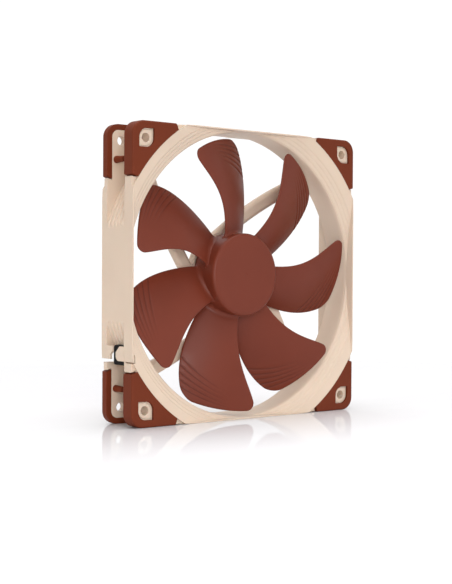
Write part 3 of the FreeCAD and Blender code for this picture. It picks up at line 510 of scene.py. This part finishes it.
def make_piece(name: str, points: np.ndarray, faces: Iterable[Sequence[int]],
               smooth_angle: float = 40.0) -> Piece:
    """Make a mesh object whose place is in its vertices.

    Args:
        name: The piece's name.
        points: Vertex positions in metres, in the standing frame.
        faces: Vertex indices of each face, outwards.
        smooth_angle: Edges sharper than this many degrees stay sharp.

    Returns:
        The new object, linked to the scene.
    """
    mesh = bpy.data.meshes.new(name)
    mesh.from_pydata([tuple(p) for p in points], [], [tuple(f) for f in faces])
    mesh.validate()
    mesh.shade_smooth()
    mesh.set_sharp_from_angle(angle=math.radians(smooth_angle))
    return link_new(name, mesh)


def wear(piece: Piece, finish: Finish) -> None:
    """Give a piece one finish for all its faces."""
    piece.data.materials.clear()
    piece.data.materials.append(finish.material())


def recalculate(mesh: bpy.types.Mesh) -> None:
    """Merge doubled points and turn all faces of a closed mesh outwards.

    Args:
        mesh: The mesh, which is changed in place.
    """
    work = bmesh.new()
    work.from_mesh(mesh)
    bmesh.ops.remove_doubles(work, verts=work.verts, dist=MERGE_DISTANCE)
    bmesh.ops.recalc_face_normals(work, faces=work.faces)
    work.to_mesh(mesh)
    work.free()


def join_pieces(name: str, parts: Sequence[Piece]) -> Piece:
    """Join several pieces of one finish.

    Args:
        name: Name of the joined piece.
        parts: The pieces, which are removed.

    Returns:
        The joined piece.
    """
    work = bmesh.new()
    for part in parts:
        work.from_mesh(part.data)
    mesh = bpy.data.meshes.new(name)
    work.to_mesh(mesh)
    work.free()
    mesh.shade_smooth()
    for slot in parts[0].data.materials:
        mesh.materials.append(slot)
    for part in parts:
        bpy.data.objects.remove(part)
    return link_new(name, mesh)


def ring_faces(rings: int, sides: int, closed: bool) -> list[tuple[int, ...]]:
    """Make the quads that join a row of rings of points; open ends get no cap.

    Args:
        rings: Number of rings.
        sides: Points in each ring.
        closed: Whether the last ring joins the first.

    Returns:
        The faces, as indices into the rings laid end to end.
    """
    faces: list[tuple[int, ...]] = []
    for ring in range(rings if closed else rings - 1):
        here, there = ring * sides, (ring + 1) % rings * sides
        for side in range(sides):
            after = (side + 1) % sides
            faces.append((here + side, here + after, there + after, there + side))
    return faces


def turned_piece(name: str, profile: Sequence[tuple[float, float]], segments: int = 144) -> Piece:
    """Revolve a closed profile about the fan's axis into a ring-shaped solid.

    Args:
        name: The piece's name.
        profile: Its (radius, y) points in millimetres.
        segments: Points around the axis.

    Returns:
        The new piece, with its faces outwards.
    """
    angles = np.linspace(0, 2 * math.pi, segments, endpoint=False)
    rings = []
    for radius, depth in profile:
        level = np.full(segments, depth)
        rings.append(np.stack([radius * np.cos(angles), level, radius * np.sin(angles)], 1))
    points = np.concatenate(rings) * MM
    points[:, 2] += AXIS_HEIGHT
    piece = make_piece(name, points, ring_faces(len(profile), segments, True))
    recalculate(piece.data)
    return piece


# ------------------------------------------------------------ geometry nodes
class GeometryGraph(NodeGraph):
    """A geometry node tree with named inputs that ends in real, finished meshes."""

    def __init__(self, name: str, inputs: dict[str, tuple[str, object]]) -> None:
        """Start a tree.

        Args:
            name: The tree's name.
            inputs: Each input's name with its socket type and default value.
        """
        super().__init__(bpy.data.node_groups.new(name, "GeometryNodeTree"))
        face = self.tree.interface
        face.new_socket("Geometry", in_out="INPUT", socket_type="NodeSocketGeometry")
        face.new_socket("Geometry", in_out="OUTPUT", socket_type="NodeSocketGeometry")
        for label, (kind, value) in inputs.items():
            socket = face.new_socket(label, in_out="INPUT", socket_type="NodeSocket" + kind)
            socket.default_value = value
        self.start = self.tree.nodes.new("NodeGroupInput")
        self.end = self.tree.nodes.new("NodeGroupOutput")

    def given(self, label: str) -> Socket:
        """Return the socket that brings in a named input."""
        return self.start.outputs[label]

    def vector(self, axis: str, value: Socket) -> Socket:
        """Return a vector along one axis, named X, Y or Z."""
        return self.add("ShaderNodeCombineXYZ", **{"in_" + axis: value}).outputs[0]

    def finish(self, source: Socket, finish: Finish) -> None:
        """End the tree by making instances real and setting their material.

        Args:
            source: The geometry.
            finish: Its finish.
        """
        real = self.add("GeometryNodeRealizeInstances", in_Geometry=source)
        coat = self.add("GeometryNodeSetMaterial", in_Geometry=real.outputs["Geometry"],
                        in_Material=finish.material())
        self.feed(self.end.inputs["Geometry"], coat.outputs["Geometry"])

    def run(self, base: Piece, name: str, **values: object) -> Piece:
        """Apply the tree to an object and keep the result as a plain piece.

        Args:
            base: The object whose mesh feeds the tree; it is removed afterwards.
            name: Name of the finished piece.
            **values: Input values by name, with _ for spaces.

        Returns:
            The finished piece.
        """
        modifier = base.modifiers.new("build", "NODES")
        modifier.node_group = self.tree
        labels = {item.name: item.identifier for item in self.tree.interface.items_tree
                  if item.in_out == "INPUT"}
        for label, value in values.items():
            modifier[labels[label.replace("_", " ")]] = value
        bpy.context.view_layer.update()
        shown = base.evaluated_get(bpy.context.evaluated_depsgraph_get())
        mesh = bpy.data.meshes.new_from_object(shown)
        bpy.data.objects.remove(base)
        mesh.name = name
        return link_new(name, mesh)


def axis_ring_graph(name: str, finish: Finish) -> GeometryGraph:
    """Build a tree that repeats a mesh about the fan's axis.

    Args:
        name: The tree's name.
        finish: The finish of the repeated pieces.

    Returns:
        The tree, with inputs Count, Start and Height.
    """
    graph = GeometryGraph(name, {"Count": ("Int", 1), "Start": ("Float", 0.0),
                                 "Height": ("Float", AXIS_HEIGHT)})
    spots = graph.add("GeometryNodeMeshLine", mode="OFFSET", in_Offset=(0.0, 0.0, 0.0),
                      in_Count=graph.given("Count"))
    index = graph.add("GeometryNodeInputIndex")
    part = graph.add("ShaderNodeMath", operation="DIVIDE", in_0=index.outputs[0], in_1=graph.given("Count"))
    turn = graph.add("ShaderNodeMath", operation="MULTIPLY_ADD", in_0=part.outputs[0], in_1=2 * math.pi,
                     in_2=graph.given("Start"))
    placed = graph.add("GeometryNodeInstanceOnPoints", in_Points=spots.outputs["Mesh"],
                       in_Instance=graph.given("Geometry"), in_Rotation=graph.vector("Y", turn.outputs[0]))
    real = graph.add("GeometryNodeRealizeInstances", in_Geometry=placed.outputs["Instances"])
    moved = graph.add("GeometryNodeTransform", in_Geometry=real.outputs["Geometry"],
                      in_Translation=graph.vector("Z", graph.given("Height")))
    graph.finish(moved.outputs["Geometry"], finish)
    return graph


# ------------------------------------------------------------------ impeller
def cubic(coefficients: Sequence[float], share: np.ndarray) -> np.ndarray:
    """Value of a cubic, its lowest coefficient first."""
    return sum(value * share ** power for power, value in enumerate(coefficients))


@dataclass
class Hub:
    """The impeller's cup: a plain face, a round edge and an open back, in millimetres."""

    radius: float = 20.3
    wall: float = 1.4
    front: float = -9.0
    rear: float = 6.6
    face: float = 1.6
    edge_round: float = 1.9
    round_steps: int = 8
    gate_mark: tuple[tuple[float, float], ...] = ((0.02, 0.16), (0.5, 0.14), (0.8, 0.03), (1.1, 0.0))
    crown: float = 0.02
    crown_from: float = 2.5
    crown_to: float = 17.6
    crown_points: int = 9
    side_front: float = -5.5
    side_points: int = 8
    rim_break: float = 0.35
    rim_bevel: float = 0.1
    lip_break: float = 0.2
    floor_break: float = 0.5

    def build(self) -> Piece:
        """Turn the cup from its profile.

        Returns:
            The finished piece, not yet dressed.
        """
        inner, floor = self.radius - self.wall, self.front + self.face
        profile = [(radius, self.front + depth) for radius, depth in self.gate_mark]
        for radius in np.linspace(self.crown_from, self.crown_to, self.crown_points):
            profile.append((radius, self.front - self.crown * (1 - (radius / self.radius) ** 2)))
        for number in range(self.round_steps + 1):
            turn = math.radians(90 * number / self.round_steps)
            profile.append((self.radius - self.edge_round + self.edge_round * math.sin(turn),
                            self.front + self.edge_round * (1 - math.cos(turn))))
        side = np.linspace(self.side_front, self.rear - self.rim_break, self.side_points)
        profile += [(self.radius, depth) for depth in side]
        profile += [(self.radius - self.rim_bevel, self.rear - self.rim_bevel),
                    (self.radius - self.rim_break, self.rear), (inner + self.lip_break, self.rear),
                    (inner, self.rear - self.lip_break), (inner, floor + self.floor_break),
                    (inner - self.floor_break, floor), (self.gate_mark[0][0], floor)]
        return turned_piece("impeller_hub", profile)


@dataclass
class Blade:
    """One swept blade, in millimetres about the fan's axis; the angles are in degrees.

    Each edge is a cubic of the share of the way from root to tip.
    """

    hub: Hub = field(default_factory=Hub)
    channels: FlowChannels = field(default_factory=FlowChannels)
    tip_radius: float = 66.8
    tip_round: float = 5.0
    tip_edge: float = 0.6
    tip_steps: int = 16
    tip_least: float = 0.02
    thickness: float = 1.9
    tip_thinning: float = 0.25
    edge_thickness: float = 0.8
    lens_power: float = 0.6
    camber: float = 0.3
    root_fillet: float = 2.4
    root_sunk: float = 0.8
    root_rises: tuple[float, ...] = (0.0, 0.08, 0.2, 0.4, 0.65, 0.95, 1.3, 1.7, 2.1, 2.6)
    root_widening: float = 0.6
    root_front_gap: float = 2.2
    root_rear_gap: float = 0.15
    root_softness: float = 2.5
    leading_angle: tuple[float, ...] = (115.3, -36.1, 83.3, -42.4)
    leading_depth: tuple[float, ...] = (-3.0, -13.0, 5.6, 0.0)
    trailing_angle: tuple[float, ...] = (65.7, 29.3, -23.2, 17.3)
    trailing_depth: tuple[float, ...] = (5.0, 1.7, 2.0, -6.1)
    plain_start: float = 3.6
    plain_step: float = 1.3
    channel_radius: float = 46.0
    channel_step: float = 0.33
    channel_edge: float = 0.12
    columns: int = 52
    last_gap: float = 0.1
    probe_radius: float = 0.05
    probe_across: float = 0.005
    sharp_angle: float = 60.0

    def middle(self, radius: np.ndarray, across: np.ndarray) -> np.ndarray:
        """Work out points of the blade's middle surface.

        Args:
            radius: Distance from the axis.
            across: 0 at the leading edge and 1 at the trailing edge.

        Returns:
            Points, with the last axis x, y, z about the fan's axis.
        """
        share = (radius - self.hub.radius) / (self.tip_radius - self.hub.radius)
        angle_0, angle_1 = cubic(self.leading_angle, share), cubic(self.trailing_angle, share)
        depth_0, depth_1 = cubic(self.leading_depth, share), cubic(self.trailing_depth, share)
        bow = across - self.camber * across * (1 - across)
        angle = np.radians(angle_0 + (angle_1 - angle_0) * across)
        depth = depth_0 + (depth_1 - depth_0) * bow
        return np.stack([radius * np.cos(angle), depth, radius * np.sin(angle)], -1)

    def normal(self, radius: np.ndarray, across: np.ndarray) -> np.ndarray:
        """Work out unit normals of the middle surface.

        Args:
            radius: Distance from the axis.
            across: Place between the two edges, 0 to 1.

        Returns:
            The normals, towards the front.
        """
        out, along = self.probe_radius, self.probe_across
        step_r = self.middle(radius + out, across) - self.middle(radius - out, across)
        step_a = self.middle(radius, across + along) - self.middle(radius, across - along)
        normal = np.cross(step_r, step_a)
        normal /= np.linalg.norm(normal, axis=-1, keepdims=True)
        return np.where(normal[..., 1:2] < 0, normal, -normal)

    def rows(self) -> list[tuple[float, float, float]]:
        """List the rows of points from root to tip.

        Returns:
            Each row's radius, inset at both edges, and share of the thickness that is left.
        """
        root, start = self.hub.radius, self.tip_radius - self.tip_round
        radii = [root - self.root_sunk]
        radii += [root + rise for rise in self.root_rises]
        radii += list(np.arange(root + self.plain_start, self.channel_radius, self.plain_step))
        radii += list(np.arange(self.channel_radius, start - self.last_gap, self.channel_step))
        rows = [(radius, 0.0, 1.0) for radius in radii]
        for number in range(self.tip_steps + 1):
            turn = math.radians(90 * number / self.tip_steps)
            radius = start + self.tip_round * math.sin(turn)
            inset = self.tip_round * (1 - math.cos(turn))
            left = max(0.0, self.tip_radius - radius)
            share = math.sqrt(max(0.0, 1 - (1 - min(left / self.tip_edge, 1.0)) ** 2))
            rows.append((radius, inset, max(share, self.tip_least)))
        return rows

    def section(self, radius: float, inset: float, share: float) -> np.ndarray:
        """Make one closed ring of points around the blade.

        Args:
            radius: The ring's distance from the axis.
            inset: How far in both edges are, for the rounded tip.
            share: Share of the thickness that is left, for the rounded tip.

        Returns:
            The ring's points.
        """
        turn = np.linspace(0, 2 * math.pi, 2 * self.columns, endpoint=False)
        along = (1 - np.cos(turn)) / 2
        side = np.sign(np.sin(turn))
        rise = max(radius - self.hub.radius, 0.0)
        reach = self.root_fillet
        swell = reach - math.sqrt(max(reach ** 2 - max(reach - rise, 0.0) ** 2, 0.0))
        ends = self.middle(np.array([radius, radius]), np.array([0.0, 1.0]))
        chord = float(np.linalg.norm(ends[1] - ends[0]))
        margin = (inset - swell * self.root_widening) / chord
        across = margin + (1 - 2 * margin) * along
        radii = np.full_like(across, radius)
        full = self.thickness * (1 - self.tip_thinning * rise / self.tip_radius)
        lens = np.clip(4 * along * (1 - along), 0, 1)
        round_edge = np.sqrt(np.clip(lens * chord / self.edge_thickness / 2.0, 0, 1))
        bulge = (full - self.edge_thickness) * lens ** self.lens_power
        thick = (self.edge_thickness + bulge) * round_edge * share
        half = thick / 2 + swell * np.sqrt(lens)
        carved = self.channels.carved(radii, across) * (side > 0) * np.clip(lens / self.channel_edge, 0, 1)
        points = self.middle(radii, across) + self.normal(radii, across) * ((half - carved) * side)[:, None]
        if rise < reach:
            self.keep_on_hub(points)
        return points

    def keep_on_hub(self, points: np.ndarray) -> None:
        """Press the root's points softly between the hub's round edge and its rear rim.

        Args:
            points: The points, which are changed in place.
        """
        low, high = self.hub.front + self.root_front_gap, self.hub.rear - self.root_rear_gap
        points[:, 1] = low + np.log1p(np.exp((points[:, 1] - low) * self.root_softness)) / self.root_softness
        points[:, 1] = np.minimum(points[:, 1], high)

    def build(self) -> Piece:
        """Make the blade about the axis, with its root and tip closed.

        Returns:
            The piece, whose points carry their distance from the axis and their place across.
        """
        rows = self.rows()
        sides = 2 * self.columns
        points = np.concatenate([self.section(*row) for row in rows]) * MM
        faces = ring_faces(len(rows), sides, False)
        last = (len(rows) - 1) * sides
        faces.append(tuple(range(sides - 1, -1, -1)))
        faces.append(tuple(range(last, last + sides)))
        piece = make_piece("one_blade", points, faces, self.sharp_angle)
        reach = np.repeat([row[0] for row in rows], sides)
        turn = np.linspace(0, 2 * math.pi, sides, endpoint=False)
        along = np.where(np.sin(turn) >= 0, (1 - np.cos(turn)) / 2, 0.0)
        for name, values in ((REACH, reach), (ACROSS, np.tile(along, len(rows)))):
            layer = piece.data.attributes.new(name, "FLOAT", "POINT")
            layer.data.foreach_set("value", values.astype(np.float32))
        recalculate(piece.data)
        return piece


@dataclass
class Impeller:
    """The hub with its swept blades."""

    hub: Hub = field(default_factory=Hub)
    blades: int = 7

    def build(self) -> list[Piece]:
        """Build and dress the impeller.

        Returns:
            Its pieces.
        """
        finish = SLOT_FINISHES["impeller_plastic"]
        hub = self.hub.build()
        wear(hub, finish)
        ring = axis_ring_graph("blade_ring", finish)
        blades = ring.run(Blade(self.hub).build(), "impeller_blades", Count=self.blades)
        for piece in (hub, blades):
            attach(piece, Body.ROTOR.value)
            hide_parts("impeller")
        return [hub, blades]


# --------------------------------------------------------------------- motor
@dataclass
class Winding:
    """Enamelled wire wound on the four poles of the stator, in millimetres."""

    start: float = 8.0
    end: float = 12.0
    half_wide: float = 2.55
    half_high: float = 4.5
    corner: float = 0.35
    bite: float = 0.1
    wire: float = 0.42
    layer_pitch: float = 1.02
    turns: int = 11
    layers: int = 3
    poles: int = 4
    corner_points: int = 5
    sides: int = 8
    sharp_angle: float = 180.0

    def path(self, layer: int) -> list[tuple[float, float]]:
        """List the points of one turn's centre line.

        Args:
            layer: The layer's number, 0 next to the pole.

        Returns:
            The points of a rectangle with round corners.
        """
        grow = layer * self.wire * self.layer_pitch + self.wire / 2
        corner = self.corner + grow
        wide = self.half_wide + grow - self.bite - corner
        high = self.half_high + grow - self.bite - corner
        path = []
        for quarter, (sign_x, sign_y) in enumerate(((1, 1), (-1, 1), (-1, -1), (1, -1))):
            for turn in np.radians(90 * quarter + np.linspace(0, 90, self.corner_points)):
                path.append((sign_x * wide + corner * math.cos(turn),
                             sign_y * high + corner * math.sin(turn)))
        return path

    def loop(self, layer: int) -> Piece:
        """Make one rounded turn of wire around the pole that points up.

        Args:
            layer: The layer's number, 0 next to the pole.

        Returns:
            The turn, at the pole's foot.
        """
        path = self.path(layer)
        points = []
        for index, (x, y) in enumerate(path):
            before, after = Vector(path[index - 1]), Vector(path[(index + 1) % len(path)])
            ahead = (after - before).normalized()
            for turn in np.linspace(0, 2 * math.pi, self.sides, endpoint=False):
                shift = self.wire / 2 * math.cos(turn)
                points.append((x + ahead.y * shift, y - ahead.x * shift, self.wire / 2 * math.sin(turn)))
        faces = ring_faces(len(path), self.sides, True)
        piece = make_piece("turn_of_wire", np.array(points) * MM, faces, self.sharp_angle)
        recalculate(piece.data)
        return piece

    def stack_graph(self) -> GeometryGraph:
        """Build the tree that stacks turns of wire along a pole.

        Returns:
            The tree, with inputs Turns, Pitch and Start.
        """
        graph = GeometryGraph("wound_coil", {"Turns": ("Int", self.turns), "Pitch": ("Float", self.wire * MM),
                                             "Start": ("Float", self.start * MM)})
        line = graph.add("GeometryNodeMeshLine", mode="OFFSET", in_Count=graph.given("Turns"),
                         in_Start_Location=graph.vector("Z", graph.given("Start")),
                         in_Offset=graph.vector("Z", graph.given("Pitch")))
        placed = graph.add("GeometryNodeInstanceOnPoints", in_Points=line.outputs["Mesh"],
                           in_Instance=graph.given("Geometry"))
        graph.finish(placed.outputs["Instances"], SLOT_FINISHES["copper_winding"])
        return graph

    def coil(self, name: str) -> Piece:
        """Wind one coil around the pole that points up; every second layer has one turn less.

        Args:
            name: The coil's name.

        Returns:
            The coil, about the origin.
        """
        pitch = (self.end - self.start) / self.turns
        layers = []
        for layer in range(self.layers):
            fewer = layer % 2
            first = self.start + pitch / 2 + pitch / 2 * fewer
            layers.append(self.stack_graph().run(self.loop(layer), "layer", Turns=self.turns - fewer,
                                                 Pitch=pitch * MM, Start=first * MM))
        return join_pieces(name, layers)

    def build(self) -> list[Piece]:
        """Wind every pole.

        Returns:
            The coils.
        """
        coils = []
        for pole in range(self.poles):
            piece = self.coil(f"coil_wire_{pole + 1}")
            turn = Matrix.Rotation(-math.pi / 2 * pole, 4, "Y")
            piece.data.transform(Matrix.Translation((0, 0, AXIS_HEIGHT)) @ turn)
            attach(piece, Body.HOUSING.value)
            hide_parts(f"stator_coil_{pole + 1}")
            coils.append(piece)
        return coils


# --------------------------------------------------------- carried-over nodes
@dataclass
class CarriedNodes:
    """The machined and moulded nodes whose shape is kept and which only get finishes."""

    left_out: set[str] = field(default_factory=set)

    def build(self) -> list[Piece]:
        """Give each carried node the finish of its slot.

        Returns:
            The dressed nodes.
        """
        slots = {item["node"]: item["material_slot"] for item in frame["record"]["subparts"]}
        dressed = []
        for name, node in frame["nodes"].items():
            if name not in self.left_out:
                wear(node, SLOT_FINISHES[slots[name]])
                dressed.append(node)
        return dressed


# -------------------------------------------------------------------- studio
@dataclass(frozen=True)
class SoftLight:
    """One large soft area light that faces the fan's middle, in metres and watts."""

    name: str
    place: Place
    size: float
    power: float

    def build(self) -> None:
        """Add the light to the scene."""
        data = bpy.data.lights.new(self.name, "AREA")
        data.shape = "DISK"
        data.size = self.size
        data.energy = self.power
        light = link_new(self.name, data)
        aim = Vector((0.0, 0.0, AXIS_HEIGHT)) - Vector(self.place)
        light.location = self.place
        light.rotation_euler = aim.to_track_quat("-Z", "Y").to_euler()


@dataclass
class Floor:
    """A pale floor whose gloss fades beside the fan and which fades out itself, in metres."""

    half: float = 3.0
    drop: float = 0.00005
    colour: RGB = (0.76, 0.755, 0.77)
    roughness: float = 0.9
    mirror: float = 0.39
    mirror_roughness: float = 0.04
    mirror_band: tuple[float, float] = (0.0125, 0.112)
    fade_band: tuple[float, float] = (0.16, 0.5)

    def material(self) -> bpy.types.Material:
        """Build the floor's finish: matt, with a mirror layer near the fan.

        Returns:
            The material.
        """
        material = bpy.data.materials.new("floor_gloss")
        material.use_nodes = True
        graph = ShaderGraph(material.node_tree)
        matt = material.node_tree.nodes["Principled BSDF"]
        matt.inputs["Base Color"].default_value = (*self.colour, 1.0)
        matt.inputs["Roughness"].default_value = self.roughness
        matt.inputs["Specular IOR Level"].default_value = 0.0
        gloss = graph.add("BsdfGlossy", in_Roughness=self.mirror_roughness, in_Color=(1, 1, 1, 1))
        spot = graph.add("TexCoord").outputs["Object"]
        out = graph.calc("ABSOLUTE", graph.add("SeparateXYZ", in_0=spot).outputs["Y"])
        share = graph.ramp(out, self.mirror_band, self.mirror, 0.0)
        shiny = graph.add("MixShader", in_Fac=share, in_1=matt.outputs[0], in_2=gloss.outputs[0])
        far = graph.add("VectorMath", operation="LENGTH", in_0=spot).outputs["Value"]
        clear = graph.add("BsdfTransparent")
        fade = graph.add("MixShader", in_Fac=graph.ramp(far, self.fade_band, 0.0, 1.0),
                         in_1=shiny.outputs[0], in_2=clear.outputs[0])
        graph.feed(material.node_tree.nodes["Material Output"].inputs["Surface"], fade.outputs[0])
        return material

    def build(self) -> Piece:
        """Make the floor just under the fan.

        Returns:
            The floor.
        """
        half = self.half
        corners = np.array([(-half, -half, 0), (half, -half, 0), (half, half, 0), (-half, half, 0)], float)
        corners[:, 2] = -self.drop
        floor = make_piece("floor", corners, [(0, 1, 2, 3)])
        floor.data.materials.append(self.material())
        return floor


@dataclass
class Studio:
    """Pale floor, soft lights and the camera, in metres and radians.

    The focal length and the sensor's width are in millimetres.
    """

    camera_place: Place = (-0.38571, -0.46604, 0.07130)
    yaw: float = 0.6844
    pitch: float = -0.0164
    roll: float = 0.0052
    focal: float = 75.37
    sensor: float = 36.0
    nearest: float = 0.01
    backdrop: float = 1.05
    bright_side: float = 1.0
    dim_side: float = 0.44
    side_band: tuple[float, float] = (0.0, 0.75)
    glow: float = 0.95
    lights: tuple[SoftLight, ...] = (
        SoftLight("key", (-0.35, -0.85, 0.60), 0.8, 2.0),
        SoftLight("front_fill", (0.45, -0.9, 0.30), 0.9, 1.6),
        SoftLight("side_fill", (-0.95, 0.0, 0.35), 0.35, 1.1),
        SoftLight("top", (0.0, 0.0, 1.0), 0.9, 7.6),
        SoftLight("near_fill", (-0.50, -0.66, 0.14), 0.4, 2.5),
    )

    def world(self) -> None:
        """Set a surround that looks white and is bright behind the fan and dim in front of it."""
        world = bpy.data.worlds.new("surround")
        bpy.context.scene.world = world
        world.use_nodes = True
        graph = ShaderGraph(world.node_tree)
        back = world.node_tree.nodes["Background"]
        back.inputs["Color"].default_value = (1.0, 1.0, 1.0, 1.0)
        way = graph.add("TexCoord").outputs["Generated"]
        facing = graph.add("VectorMath", operation="DOT_PRODUCT", in_0=way,
                           in_1=(math.sin(self.yaw), math.cos(self.yaw), 0.0))
        lit = graph.ramp(facing.outputs["Value"], self.side_band, self.dim_side, self.bright_side)
        seen = graph.add("LightPath")
        mirrored = graph.calc("MULTIPLY_ADD", seen.outputs["Is Glossy Ray"], self.glow - 1.0, 1.0)
        strength = graph.add("Mix", data_type="FLOAT", in_Factor=seen.outputs["Is Camera Ray"],
                             in_A=graph.calc("MULTIPLY", lit, mirrored), in_B=self.backdrop)
        graph.feed(back.inputs["Strength"], strength.outputs["Result"])

    def camera(self) -> None:
        """Place the camera a little below the fan's middle height, turned to its front left."""
        data = bpy.data.cameras.new("camera")
        data.lens = self.focal
        data.sensor_width = self.sensor
        data.clip_start = self.nearest
        ahead = Vector((math.sin(self.yaw) * math.cos(self.pitch), math.cos(self.yaw) * math.cos(self.pitch),
                        math.sin(self.pitch)))
        level = Vector((math.cos(self.yaw), -math.sin(self.yaw), 0.0))
        right = level * math.cos(self.roll) + level.cross(ahead) * math.sin(self.roll)
        turn = Matrix((right, right.cross(ahead), -ahead)).transposed()
        eye = link_new("camera", data)
        eye.matrix_world = Matrix.Translation(self.camera_place) @ turn.to_4x4()
        bpy.context.scene.camera = eye

    def build(self) -> list[Piece]:
        """Build the whole setting.

        Returns:
            Its floor, in a list.
        """
        self.world()
        self.camera()
        for light in self.lights:
            light.build()
        bpy.context.scene.view_settings.view_transform = "Standard"
        return [Floor().build()]


def main() -> None:
    """Build every sub-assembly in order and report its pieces."""
    logging.basicConfig(level=logging.INFO, format="%(name)s: %(message)s")
    winding = Winding()
    replaced = {"impeller"} | {f"stator_coil_{pole + 1}" for pole in range(winding.poles)}
    builders: list[tuple[str, Callable[[], list[Piece]]]] = [
        ("studio", Studio().build),
        ("carried nodes", CarriedNodes(replaced).build),
        ("impeller", Impeller().build),
        ("winding", winding.build),
    ]
    for label, build in builders:
        for piece in build():
            LOG.info("%s: %s, %d faces", label, piece.name, len(piece.data.polygons))


if __name__ == "__main__":
    main()
